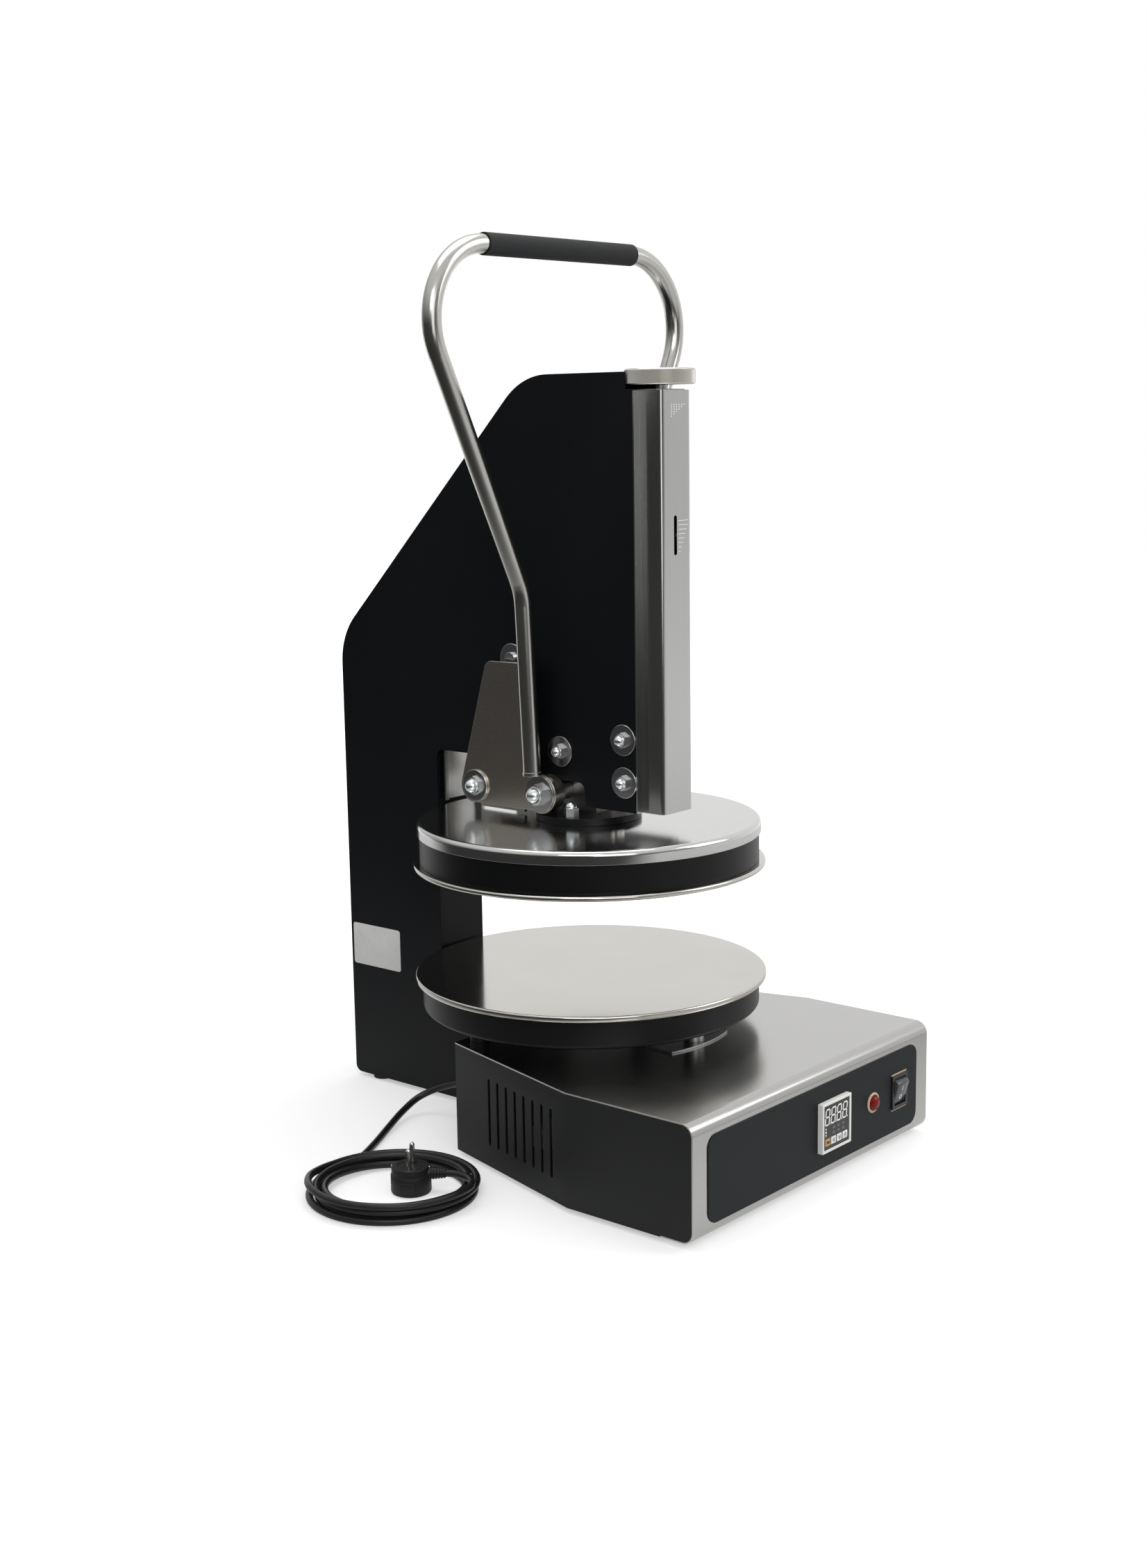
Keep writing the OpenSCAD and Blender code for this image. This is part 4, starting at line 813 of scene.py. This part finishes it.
@dataclass
class Studio:
    """Camera, white floor and soft lamps."""

    camera_at: tuple[float, float, float] = (-1.5136, -1.29398, 0.70705)
    azimuth: float = -49.42
    pitch: float = 10.12
    roll: float = -0.89
    lens: float = 46.832
    sensor: float = 36.0
    view_depth: float = 50.0
    floor_size: float = 9.0
    floor_corners: int = 64
    floor_tone: float = 0.62
    floor_dimming: float = 0.6
    surround_lean: tuple[float, float, float] = (0.9, 0.25, 0.2)
    surround_sides: Ramp = Ramp(-0.3, 0.85, 0.03, 0.9)
    surround_roof: Ramp = Ramp(0.0, 0.6, 0.03, 0.75)
    floor_left: Ramp = Ramp(-0.75, -0.2, 0.03, 1.0)
    floor_front: Ramp = Ramp(-3.0, 0.0, 0.55, 0.9)
    floor_near: Ramp = Ramp(0.35, 0.75, 0.8, 0.45)
    floor_far: Ramp = Ramp(1.2, 4.0, 0.0, 0.5)
    floor_glow: Ramp = Ramp(0.5, 1.75, 0.45, 1.0)
    lamps: tuple[Softbox, ...] = (
        Softbox("key_softbox", (1.6, -2.0, 1.9), (0.0, 0.0, 0.35), (1.5, 1.5), 22.0),
        Softbox("top_softbox", (0.1, 0.2, 2.3), (0.0, 0.0, 0.2), (1.6, 1.2), 18.0),
        Softbox("front_softbox", (-1.45, -2.15, 1.1), (0.0, 0.0, 0.35), (1.3, 1.7), 9.0),
        Softbox("fill_softbox", (-2.3, -1.6, 2.0), (0.0, 0.0, 0.35), (1.3, 1.0), 13.0))

    def camera(self) -> None:
        """Sets the camera at the photograph's place and angle."""
        around, down, tilt = (math.radians(a) for a in (self.azimuth, self.pitch, self.roll))
        right = Vector((math.cos(around), math.sin(around), 0.0))
        back = Vector((math.sin(around) * math.cos(down), -math.cos(around) * math.cos(down),
                       math.sin(down)))
        up = back.cross(right)
        level = Matrix((right * math.cos(tilt) + up * math.sin(tilt),
                        up * math.cos(tilt) - right * math.sin(tilt), back)).transposed()
        data = bpy.data.cameras.new("camera")
        data.sensor_width = self.sensor
        data.lens = self.lens
        data.clip_end = self.view_depth
        made = bpy.data.objects.new("camera", data)
        made.matrix_world = Matrix.Translation(self.camera_at) @ level.to_4x4()
        bpy.context.scene.collection.objects.link(made)
        bpy.context.scene.camera = made

    def world(self) -> None:
        """A white surround, which is dark to the left for all but the camera."""
        world = bpy.data.worlds.new("surround")
        bpy.context.scene.world = world
        world.use_nodes = True
        graph = Graph(world.node_tree)
        x, y, z = graph.parts(graph.place())
        lean = self.surround_lean
        sides = self.surround_sides.of(x * lean[0] + y * lean[1] + z * lean[2])
        straight = graph.value(graph.node("ShaderNodeLightPath"), "Is Camera Ray")
        strength = sides.most(self.surround_roof.of(z)).most(straight)
        back = graph.node("ShaderNodeBackground", inputs={"Color": WHITE, "Strength": strength})
        graph.node("ShaderNodeOutputWorld", inputs={"Surface": graph.value(back)})

    def floor_material(self) -> bpy.types.Material:
        """A pale floor that glows for the camera, and is dimmer to the left where metal mirrors it.

        Returns:
            The floor's material.
        """
        material = bpy.data.materials.new("floor_white")
        material.use_nodes = True
        graph = Graph(material.node_tree)
        place = graph.place()
        x, y, _ = graph.parts(place)
        away = graph.value(graph.node("ShaderNodeVectorMath", {"operation": "LENGTH"}, {0: place}), "Value")
        path = graph.node("ShaderNodeLightPath")
        straight = graph.value(path, "Is Camera Ray")
        mirrored = graph.value(path, "Is Glossy Ray").most(graph.value(path, "Is Transmission Ray"))
        studio = (self.floor_left.of(x) * self.floor_front.of(y)
                  * (self.floor_near.of(away) + self.floor_far.of(away)))
        tone = self.floor_tone - mirrored * self.floor_dimming * (1.0 - studio)
        matt = graph.node("ShaderNodeBsdfDiffuse", inputs={
            "Color": graph.value(graph.node("ShaderNodeCombineColor", inputs={0: tone, 1: tone, 2: tone}))})
        strength = straight.most(mirrored * studio) * self.floor_glow.of(away)
        glow = graph.node("ShaderNodeEmission", inputs={"Color": WHITE, "Strength": strength})
        both = graph.node("ShaderNodeAddShader", inputs={0: graph.value(matt), 1: graph.value(glow)})
        graph.node("ShaderNodeOutputMaterial", inputs={"Surface": graph.value(both)})
        return material

    def floor(self) -> None:
        """A round floor that keeps the object's shadow."""
        made = bmesh.new()
        bmesh.ops.create_circle(made, cap_ends=True, segments=self.floor_corners, radius=self.floor_size)
        data = bpy.data.meshes.new("floor")
        made.to_mesh(data)
        made.free()
        data.materials.append(self.floor_material())
        piece = bpy.data.objects.new("floor", data)
        bpy.context.scene.collection.objects.link(piece)

    def build(self) -> None:
        """Makes the studio."""
        bpy.context.scene.view_settings.view_transform = "Standard"
        self.camera()
        self.world()
        self.floor()
        for lamp in self.lamps:
            lamp.build()


@dataclass
class MainsLead:
    """The mains lead: gland, cord along the floor into a coil, and a flat plug with its pins up."""

    diameter: float = 7.0
    roundness: int = 5
    coil_centre: tuple[float, float] = (-256.0, 27.0)
    coil_radius: float = 80.0
    coil_pitch: float = 8.2
    coil_turns: int = 2
    coil_start: float = 90.0
    layer_step: float = 7.6
    layer_change: float = 0.5
    low: float = 3.7
    turn_points: int = 72
    fill: int = 6
    lead: Route = (
        (-70, 79, 45), (-70, 86, 45), (-70, 97, 44), (-69, 113, 41), (-68, 132, 35), (-71, 152, 27),
        (-84, 166, 18), (-108, 165, 10), (-142, 151, 5.5), (-172, 136, 3.7), (-203, 120, 3.7),
        (-226, 110.5, 3.7), (-241, 107.2, 3.7), (-249, 107, 3.7))
    tail: Route = (
        (-277, 104, 13), (-302, 92.5, 16), (-325, 67, 18.9), (-335.5, 34, 18.9), (-331, 0, 18.9),
        (-312.5, -29.5, 18.9), (-290, -45.5, 18.9), (-263, -52.5, 18.9), (-241, -51.5, 18.9),
        (-230.5, -47.5, 18.9), (-222.5, -39.5, 18.9), (-218.5, -29, 18.9), (-218.5, -18, 18.9),
        (-223, -8, 18.9), (-227, -2.3, 18.9))
    plug_angle: float = -55.0
    plug_reach: float = 26.0
    plug_profile: Profile = (
        (0, 0), (16.6, 0), (18.2, 0.8), (19, 2.4), (19, 17.5), (18.7, 18.3), (17.9, 18.7), (17.9, 25.2),
        (17.3, 25.9), (12.6, 26), (12.2, 25.3), (0, 25.3))
    plug_steps: int = 96
    finger_pad: Slab = Slab(15.0, 11.0, 1.6, 2.5, 0.6)
    finger_pad_at: tuple[float, float] = (18.2, 9.5)
    pin_collar: Profile = ((0, 0), (3.6, 0), (3.6, 0.5), (3.2, 0.9), (0, 0.9))
    pin_collar_at: tuple[float, float] = (9.5, 25.1)
    pin_collar_steps: int = 32
    neck_height: float = 18.9
    neck_root: Profile = ((0, 0), (6.5, 0), (6.5, 18))
    neck_ribs: Ribs = Ribs(18.0, 2.6, 6.4, 0.32, 0.9, (0.2, 1.4), (1.7, 2.5))
    neck_tip: Profile = ((3.6, 34), (0, 34))
    spring: Slab = Slab(4.6, 7.0, 0.7, 1.0, 0.3)
    spring_at: tuple[float, float] = (17.6, 22.6)
    gland_at: tuple[float, float, float] = (-70.0, 53.0, 45.0)
    gland_sides: int = 6
    gland_nut: Profile = ((0, 0), (8.6, 0), (9, 0.5), (9, 8.4), (8.4, 9.1), (0, 9.1))
    sleeve_root: Profile = ((0, 8), (6.4, 8))
    sleeve_ribs: Ribs = Ribs(9.2, 2.7, 6.3, 0.26, 0.7, (0.0, 1.5), (1.8, 2.5))
    sleeve_tip: Profile = ((4.4, 25.6), (4, 26), (0, 26))
    sleeve_steps: int = 48

    def smooth(self, points: Sequence[Sequence[float]]) -> list[Vector]:
        """Points on a smooth line through route points.

        Args:
            points: The route points in millimetres.

        Returns:
            The route points with more points between them.
        """
        route = [Vector(p) for p in points]
        found = []
        for i in range(len(route) - 1):
            a, b, c = route[max(i - 1, 0)], route[i], route[i + 1]
            d = route[min(i + 2, len(route) - 1)]
            for k in range(self.fill):
                t = k / self.fill
                found.append(b + t * ((c - a) + t * ((2 * a - 5 * b + 4 * c - d)
                                                     + t * (3 * b - a - 3 * c + d))) / 2)
        return found + [route[-1]]

    def loop_point(self, turn: float) -> Vector:
        """A point of the coil, which spirals in on the floor and out again on top.

        Args:
            turn: Turns from the coil's start.

        Returns:
            The point in millimetres.
        """
        radius = self.coil_radius - self.coil_pitch * (self.coil_turns - abs(self.coil_turns - turn))
        rise = min(1.0, max(0.0, (turn - self.coil_turns) / self.layer_change + 0.5))
        angle = math.radians(self.coil_start) + math.tau * turn
        return Vector((self.coil_centre[0] + radius * math.cos(angle),
                       self.coil_centre[1] + radius * math.sin(angle),
                       self.low + self.layer_step * rise * rise * (3.0 - 2.0 * rise)))

    def route(self) -> list[Vector]:
        """The cord's centreline from its gland to the plug.

        Returns:
            Its points, in metres in the shared frame.
        """
        turns = 2 * self.coil_turns
        loops = [self.loop_point(i / self.turn_points) for i in range(turns * self.turn_points)]
        tail = self.smooth([self.loop_point(turns), *self.tail])
        return [TO_FRAME @ p for p in self.smooth(self.lead) + loops + tail]

    def cord(self, points: Sequence[Vector]) -> bpy.types.Object:
        """The cord itself, a round tube on its centreline.

        Args:
            points: The centreline in metres.

        Returns:
            The cord's object.
        """
        data = bpy.data.curves.new("mains_cord", "CURVE")
        data.dimensions = "3D"
        data.bevel_depth = self.diameter * MM / 2.0
        data.bevel_resolution = self.roundness
        data.use_fill_caps = True
        line = data.splines.new("POLY")
        line.points.add(len(points) - 1)
        for knot, point in zip(line.points, points):
            knot.co = (*point, 1.0)
        data.materials.append(LEAD_PVC.material())
        made = bpy.data.objects.new("mains_cord", data)
        bpy.context.scene.collection.objects.link(made)
        settle(made, Body.FRAME, ("cord_lead", "cord_coil"))
        return made

    def at_plug(self) -> Matrix:
        """Places on the plug, whose cord leaves along own X."""
        x, y, _ = self.tail[-1]
        return shift(x, y, 0.0) @ turned("Z", self.plug_angle) @ shift(-self.plug_reach, 0.0, 0.0)

    def plug(self) -> list[bpy.types.Object]:
        """The plug's body with its ribbed neck, and the two earth springs in its sides.

        Returns:
            The objects of the two pieces.
        """
        at = self.at_plug()
        pad_out, pad_up = self.finger_pad_at
        collar_out, collar_up = self.pin_collar_at
        spring_out, spring_up = self.spring_at
        body, springs = Shape(), Shape()
        body.add(spun_mesh(self.plug_profile, self.plug_steps), at)
        for side in SIDES:
            body.add(self.finger_pad.mesh(),
                     at @ shift(0.0, side * pad_out, pad_up) @ turned("X", -90.0 * side))
        for side in SIDES:
            body.add(spun_mesh(self.pin_collar, self.pin_collar_steps),
                     at @ shift(0.0, side * collar_out, collar_up))
        neck = [*self.neck_root, *self.neck_ribs.profile(), *self.neck_tip]
        body.add(spun_mesh(neck, self.sleeve_steps),
                 at @ shift(0.0, 0.0, self.neck_height) @ turned("Y", 90.0))
        for side in SIDES:
            springs.add(self.spring.mesh(), at @ shift(side * spring_out, 0.0, spring_up)
                        @ turned("Z", 90.0) @ turned("X", 90.0 * side))
        return [body.piece("plug_moulding", PLUG_PVC, Body.FRAME, "black_plastic", ("plug_body",)),
                springs.piece("plug_earth_springs", PIN_METAL, Body.FRAME, "pin_metal")]

    def gland(self) -> None:
        """The gland in the rear wall: a hexagon nut and a ribbed, tapered sleeve."""
        at = shift(*self.gland_at) @ turned("X", -90.0)
        shape = Shape()
        shape.add(spun_mesh(self.gland_nut, self.gland_sides), at @ turned("Z", 180.0 / self.gland_sides))
        sleeve = [*self.sleeve_root, *self.sleeve_ribs.profile(), *self.sleeve_tip]
        shape.add(spun_mesh(sleeve, self.sleeve_steps), at)
        shape.piece("lead_gland", PLUG_PVC, Body.FRAME, "black_plastic", ("cord_gland",))

    def build(self) -> None:
        """Makes the lead and logs its real length."""
        points = self.route()
        length = sum((b - a).length for a, b in zip(points, points[1:]))
        made = self.cord(points)
        ends = self.plug()
        self.gland()
        LOG.info("mains lead %.3f m", length)


@dataclass
class ControlPanel:
    """The instruments on the front: temperature controller, lamp and rocker switch."""

    face_y: float = -274.0
    middle_z: float = 58.0
    controller_x: float = 21.0
    controller_out: float = 4.8
    face_half: float = 21.45
    face_t: float = 0.25
    print_t: float = 0.12
    print_lift: float = 0.22
    places: tuple[float, ...] = (-1.5, -0.5, 0.5, 1.5)
    key_pitch: float = 9.6
    key_room: float = 8.6
    key_row: tuple[float, float] = (-18.25, -10.55)
    key_up: float = -14.4
    key_proud: float = 0.58
    arrow_arm: tuple[float, float, float] = (2.6, 0.6, 0.2)
    arrow_at: tuple[float, float] = (0.85, 0.9)
    arrow_slope: float = 42.0
    mode_bar: tuple[float, float, float] = (4.6, 2.4, 0.4)
    digit_pitch: float = 9.7
    digit_size: tuple[float, float] = (6.4, 14.6)
    digit_at: tuple[float, float] = (-0.4, 10.0)
    digit_slant: float = 0.13
    stroke: float = 1.45
    stroke_corner: float = 0.55
    stroke_gap: float = 0.7
    point_size: tuple[float, float] = (1.4, 0.6)
    point_gap: float = 1.7
    side_marks_x: float = -17.6
    side_marks: tuple[tuple[float, Profile], ...] = (
        (-0.9, ((-1.3, -1), (1.3, -1), (0, 1.2))),
        (-4.1, ((-1.2, -0.8), (1.2, -0.8), (1.2, 0.8), (-1.2, 0.8))),
        (-7.4, ((-1.3, 1), (0, -1.2), (1.3, 1))))
    pilot: tuple[float, float, float] = (4.2, 2.0, 0.5)
    pilot_columns: tuple[float, ...] = (-4.5, 3.5, 11.5)
    pilot_rows: tuple[float, ...] = (-2.2, -6.8)
    lamp_x: float = 92.0
    lens_profile: Profile = ((0, 0.9), (7.4, 0.9), (7.4, 2.2), (6.6, 3.6), (4.8, 4.8), (2.4, 5.5), (0, 5.8))
    lens_facets: int = 12
    rim_profile: Profile = ((7.45, 0), (10, 0), (10, 0.7), (9.6, 1.2), (8.8, 1.5), (7.9, 1.4), (7.45, 1.0))
    switch_x: float = 138.5
    rocker_axis_in: float = 3.0
    rocker_tilt: float = 10.0
    rocker_half: tuple[float, float] = (9.7, 11.6)
    rocker_face: tuple[float, float] = (5.4, 7.6)
    rocker_nose: tuple[float, float] = (1.8, 1.6)
    rocker_round: float = 13.0
    rocker_round_at: tuple[float, ...] = (70.0, 80.0, 92.0, 103.0)
    rocker_edge: float = 0.3
    on_mark: Slab = Slab(0.8, 4.6, 0.25, 0.3)
    on_mark_up: float = 4.6
    off_mark: Profile = ((1.6, 0), (1.6, 0.25), (2.4, 0.25), (2.4, 0))
    off_mark_up: float = -5.0
    off_mark_steps: int = 40
    mark_sunk: float = 0.15
    gasket_strip: Slab = Slab(26.6, 3.0, 0.5, 0.6, 0.15)
    gasket_up: float = 17.0

    def at(self, x: float, up: float, out: float) -> Matrix:
        """A place on the panel: own X right, own Y up and own Z out of it."""
        return shift(x, self.face_y - out, self.middle_z + up) @ turned("X", 90.0)

    def on_controller(self, x: float, up: float, out: float = 0.0) -> Matrix:
        """A place on the controller's front, from its middle."""
        return self.at(self.controller_x + x, up, self.controller_out + out)

    def on_key(self, place: float) -> Matrix:
        """The middle of a key's front."""
        return self.on_controller(place * self.key_pitch, self.key_up, self.key_proud)

    def printed(self, size: Sequence[float]) -> bmesh.types.BMesh:
        """A printed mark of a width, a height and a corner radius."""
        wide, tall, corner = size
        return Slab(wide, tall, self.print_t, corner).mesh()

    def face(self) -> None:
        """The controller's black face, open round the four keys."""
        half = self.face_half
        low, high = self.key_row
        stops = [-half]
        for place in self.places:
            middle = place * self.key_pitch
            stops += [middle - self.key_room / 2, middle + self.key_room / 2]
        stops.append(half)
        rows = [(-half, half, high, half), (-half, half, -half, low)]
        rows += [(stops[i], stops[i + 1], low, high) for i in range(0, len(stops), 2)]
        shape = Shape()
        for left, right, bottom, top in rows:
            shape.add(Slab(right - left, top - bottom, self.face_t).mesh(),
                      self.on_controller((left + right) / 2, (bottom + top) / 2))
        shape.piece("controller_face", FACE_BLACK, Body.FRAME, "black_plastic")

    def digits(self) -> None:
        """Four slanted seven-bar digits with their points, and three small marks, printed on the face."""
        wide, tall = self.digit_size
        trim = self.stroke_gap * self.stroke
        level = (wide - trim, self.stroke, self.stroke_corner)
        upright = (self.stroke, tall / 2 - trim, self.stroke_corner)
        point, point_corner = self.point_size
        x_off, up = self.digit_at
        lean = Matrix.Identity(4)
        lean[0][1] = self.digit_slant
        shape = Shape()
        for place in self.places:
            at = self.on_controller(place * self.digit_pitch + x_off, up, self.print_lift) @ lean
            for y in (0.0, tall / 2, -tall / 2):
                shape.add(self.printed(level), at @ shift(0.0, y, 0.0))
            for x in (-wide / 2, wide / 2):
                for y in (-tall / 4, tall / 4):
                    shape.add(self.printed(upright), at @ shift(x, y, 0.0))
            shape.add(self.printed((point, point, point_corner)),
                      at @ shift(wide / 2 + self.point_gap, -tall / 2, 0.0))
        for mark_up, outline in self.side_marks:
            shape.add(prism_mesh(outline, self.print_t),
                      self.on_controller(self.side_marks_x, mark_up, self.print_lift))
        shape.piece("controller_digits", DIGIT_WHITE, Body.FRAME, "key_white")

    def pilot_marks(self) -> None:
        """Dim pilot marks between the digits and the keys."""
        shape = Shape()
        for up in self.pilot_rows:
            for x in self.pilot_columns:
                shape.add(self.printed(self.pilot), self.on_controller(x, up, self.print_lift))
        shape.piece("controller_pilots", DIM_PRINT, Body.FRAME, "black_plastic")

    def arrow_heads(self, at: Matrix) -> Shape:
        """Two small arrow heads, one over the other.

        Args:
            at: Their middle, with own Y where they point.

        Returns:
            The mark under way.
        """
        out, rise = self.arrow_at
        shape = Shape()
        for step in SIDES:
            for side in SIDES:
                shape.add(self.printed(self.arrow_arm), at @ shift(side * out, step * rise, 0.0)
                          @ turned("Z", -self.arrow_slope * side))
        return shape

    def key_marks(self) -> None:
        """Arrow heads on the three white keys and a bar on the amber one."""
        mode, left, down, up = (self.on_key(place) for place in self.places)
        marks = ((Body.KEY_LEFT, "key_left_mark", left, 90.0),
                 (Body.KEY_DOWN, "key_down_mark", down, 180.0),
                 (Body.KEY_UP, "key_up_mark", up, 0.0))
        for body, name, at, turn in marks:
            self.arrow_heads(at @ turned("Z", turn)).piece(name, FACE_BLACK, body, "black_plastic")
        bar = Shape()
        bar.add(self.printed(self.mode_bar), mode)
        bar.piece("key_mode_mark", FACE_BLACK, Body.KEY_MODE, "black_plastic")

    def lamp(self) -> None:
        """The lamp's red lens, cut in facets, and its rim."""
        at = self.at(self.lamp_x, 0.0, 0.0)
        lens, rim = Shape(), Shape()
        lens.add(spun_mesh(self.lens_profile, self.lens_facets), at)
        lens.piece("lamp_jewel", LAMP_RED, Body.FRAME, "lamp_red", ("lamp_lens",), smooth=False)
        rim.add(spun_mesh(self.rim_profile, closed=True), at)
        rim.piece("lamp_bezel", LAMP_RIM, Body.FRAME, "lamp_rim", ("lamp_ring",))

    def at_rocker(self) -> Matrix:
        """Places on the rocker: own X right, own Y up its face and own Z out of its axis."""
        return self.at(self.switch_x, 0.0, -self.rocker_axis_in) @ turned("X", self.rocker_tilt)

    def rocker_outline(self) -> list[tuple[float, float]]:
        """The rocker's side: a sloping face with a nose at its top, over a round foot.

        Returns:
            The corners of its outline.
        """
        rise = self.rocker_half[1]
        low, high = self.rocker_face
        nose_in, nose_down = self.rocker_nose
        angles = [math.radians(degrees) for degrees in self.rocker_round_at]
        foot = [(self.rocker_round * math.sin(a), self.rocker_round * math.cos(a)) for a in angles]
        return [(-rise, low), (rise - nose_in, high), (rise, high - nose_down), *foot,
                *((-x, z) for x, z in reversed(foot))]

    def rocker(self) -> None:
        """The rocker with its sloping face, and its two plain marks."""
        half, rise = self.rocker_half
        low, high = self.rocker_face
        key, marks = Shape(), Shape()
        key.add(prism_mesh(self.rocker_outline(), 2 * half, self.rocker_edge),
                self.at_rocker() @ shift(-half, 0.0, 0.0) @ turned("Y", 90.0) @ turned("Z", 90.0))
        key.piece("rocker_key", ROCKER_GREY, Body.ROCKER, "black_plastic", ("switch_rocker",))
        slope = math.degrees(math.atan2(high - low, 2 * rise - self.rocker_nose[0]))
        on_face = (self.at_rocker() @ shift(0.0, -rise, low) @ turned("X", slope)
                   @ shift(0.0, rise, -self.mark_sunk))
        marks.add(self.on_mark.mesh(), on_face @ shift(0.0, self.on_mark_up, 0.0))
        marks.add(spun_mesh(self.off_mark, self.off_mark_steps, closed=True),
                  on_face @ shift(0.0, self.off_mark_up, 0.0))
        marks.piece("rocker_marks", DIGIT_WHITE, Body.ROCKER, "key_white")

    def gasket(self) -> None:
        """The pale edges of the switch's gasket, above and below its frame."""
        shape = Shape()
        for side in SIDES:
            shape.add(self.gasket_strip.mesh(), self.at(self.switch_x, side * self.gasket_up, 0.0))
        shape.piece("switch_gasket", LAMP_RIM, Body.FRAME, "lamp_rim")

    def build(self) -> None:
        """Makes the instruments' detail."""
        self.face()
        self.digits()
        self.pilot_marks()
        self.key_marks()
        self.lamp()
        self.rocker()
        self.gasket()


@dataclass
class Head:
    """The etched marks on the head's cover, and the blank sticker on the column's side."""

    front_y: float = -112.5
    etch_t: float = 0.06
    scale_x: float = 2.2
    scale_top: float = 613.5
    scale_step: float = 4.1
    scale_line: float = 0.45
    scale_lengths: tuple[float, ...] = (15.0, 14.0, 12.2, 10.4, 8.6, 6.8, 5.0, 3.2)
    dots_at: tuple[float, float] = (-7.6, 719.6)
    dot_step: tuple[float, float] = (3.85, 2.12)
    dot_size: tuple[float, float, float] = (1.5, 1.05, 0.5)
    dot_rows: int = 6
    sticker_x: float = -31.6
    sticker_y: tuple[float, float] = (239.0, 310.0)
    sticker_z: tuple[float, float] = (128.5, 173.8)
    sticker_t: float = 0.15
    sticker_corner: float = 3.0
    sticker_edge: float = 0.05

    def at(self, x: float, z: float) -> Matrix:
        """A place on the cover's front: own X right, own Y up and own Z out of it."""
        return shift(x, self.front_y, z) @ turned("X", 90.0)

    def scale(self) -> None:
        """Etched lines beside the window, and a wedge of dots at the top."""
        shape = Shape()
        for i, length in enumerate(self.scale_lengths):
            shape.add(Slab(length, self.scale_line, self.etch_t).mesh(),
                      self.at(self.scale_x + length / 2, self.scale_top - i * self.scale_step))
        wide, tall, corner = self.dot_size
        for row in range(self.dot_rows):
            for i in range(self.dot_rows - row):
                shape.add(Slab(wide, tall, self.etch_t, corner).mesh(),
                          self.at(self.dots_at[0] + i * self.dot_step[0],
                                  self.dots_at[1] - row * self.dot_step[1]))
        shape.piece("thickness_scale", SCALE_MARK, Body.FRAME, "stainless")

    def sticker(self) -> None:
        """A bare sticker low on the column's left side."""
        y, z = self.sticker_y, self.sticker_z
        plate = Slab(y[1] - y[0], z[1] - z[0], self.sticker_t, self.sticker_corner, self.sticker_edge)
        shape = Shape()
        shape.add(plate.mesh(),
                  shift(self.sticker_x, sum(y) / 2, sum(z) / 2) @ turned("Z", -90.0) @ turned("X", 90.0))
        shape.piece("blank_sticker", STICKER, Body.FRAME, "control_plastic")

    def build(self) -> None:
        """Makes the head's detail."""
        self.scale()
        self.sticker()


@dataclass
class ThicknessWheel:
    """The knurled wheel on the stop screw."""

    centre_y: float = -93.5
    low: float = 738.0
    tall: float = 14.5
    radius: float = 33.0
    bore: float = 5.0
    rim: Profile = ((31.6, 0.0), (32.6, 0.9))
    recess: tuple[float, float] = (12.0, 11.0)
    recess_depth: float = 0.8
    plain_band: float = 1.2
    teeth: int = 360
    rows: int = 22
    depth: float = 0.34

    def profile(self) -> list[tuple[float, float]]:
        """The wheel's profile, from the foot of its bore to the top of it.

        Returns:
            Radius and height of its points.
        """
        knurled = self.tall - 2.0 * self.plain_band
        outer, inner = self.recess
        sunk = self.tall - self.recess_depth
        return [(self.bore, 0.0), *self.rim,
                *((self.radius, self.plain_band + knurled * i / self.rows) for i in range(self.rows + 1)),
                *((across, self.tall - up) for across, up in reversed(self.rim)),
                (outer, self.tall), (inner, sunk), (self.bore, sunk)]

    def knurl(self, made: bmesh.types.BMesh) -> None:
        """Presses in every second point of the rim, in crossed rows.

        Args:
            made: The wheel's mesh.
        """
        share = (self.radius - self.depth) / self.radius
        for vert in made.verts:
            if abs(math.hypot(vert.co.x, vert.co.y) - self.radius) < SAME_PLACE:
                tooth = round(math.atan2(vert.co.y, vert.co.x) / math.tau * self.teeth)
                row = round((vert.co.z - self.plain_band) / (self.tall - 2.0 * self.plain_band) * self.rows)
                if (tooth + row) % 2:
                    vert.co.x *= share
                    vert.co.y *= share
        bmesh.ops.triangulate(made, faces=made.faces[:], quad_method="SHORT_EDGE", ngon_method="BEAUTY")

    def build(self) -> None:
        """Makes the wheel with its crossed knurl and chamfered rims."""
        made = spun_mesh(self.profile(), self.teeth, closed=True)
        self.knurl(made)
        shape = Shape()
        shape.add(made, shift(0.0, self.centre_y, self.low))
        shape.piece("knurled_wheel", KNURL_STEEL, Body.WHEEL, "knurled_steel", ("thickness_wheel",),
                    smooth=False)


@dataclass
class HandleFeet:
    """The turned end rings of the handle's two legs."""

    leg_x: float = 58.15
    leg_y: float = 22.0
    low: float = 368.2
    lean: float = 2.26
    ring: Profile = ((8.6, 0.1), (9.1, 0.1), (9.35, 0.35), (9.35, 3.5), (9.1, 3.8), (8.6, 3.8))
    ring_steps: int = 64

    def build(self) -> None:
        """Makes a ring round the foot of each leg."""
        shape = Shape()
        for side in SIDES:
            shape.add(spun_mesh(self.ring, self.ring_steps, closed=True),
                      shift(side * self.leg_x, self.leg_y, self.low) @ turned("Y", side * self.lean))
        shape.piece("leg_end_rings", TUBE_METAL, Body.LEVER, "polished")


def main() -> None:
    """Builds the studio, dresses the solids and builds every sub-assembly."""
    logging.basicConfig(level=logging.INFO, format="%(name)s %(message)s")
    Studio().build()
    MainsLead().build()
    for finish, (edge, nodes) in NODE_FINISHES.items():
        for node in nodes:
            dress(node, finish, edge)
    ControlPanel().build()
    Head().build()
    ThicknessWheel().build()
    HandleFeet().build()


if __name__ == "__main__":
    main()
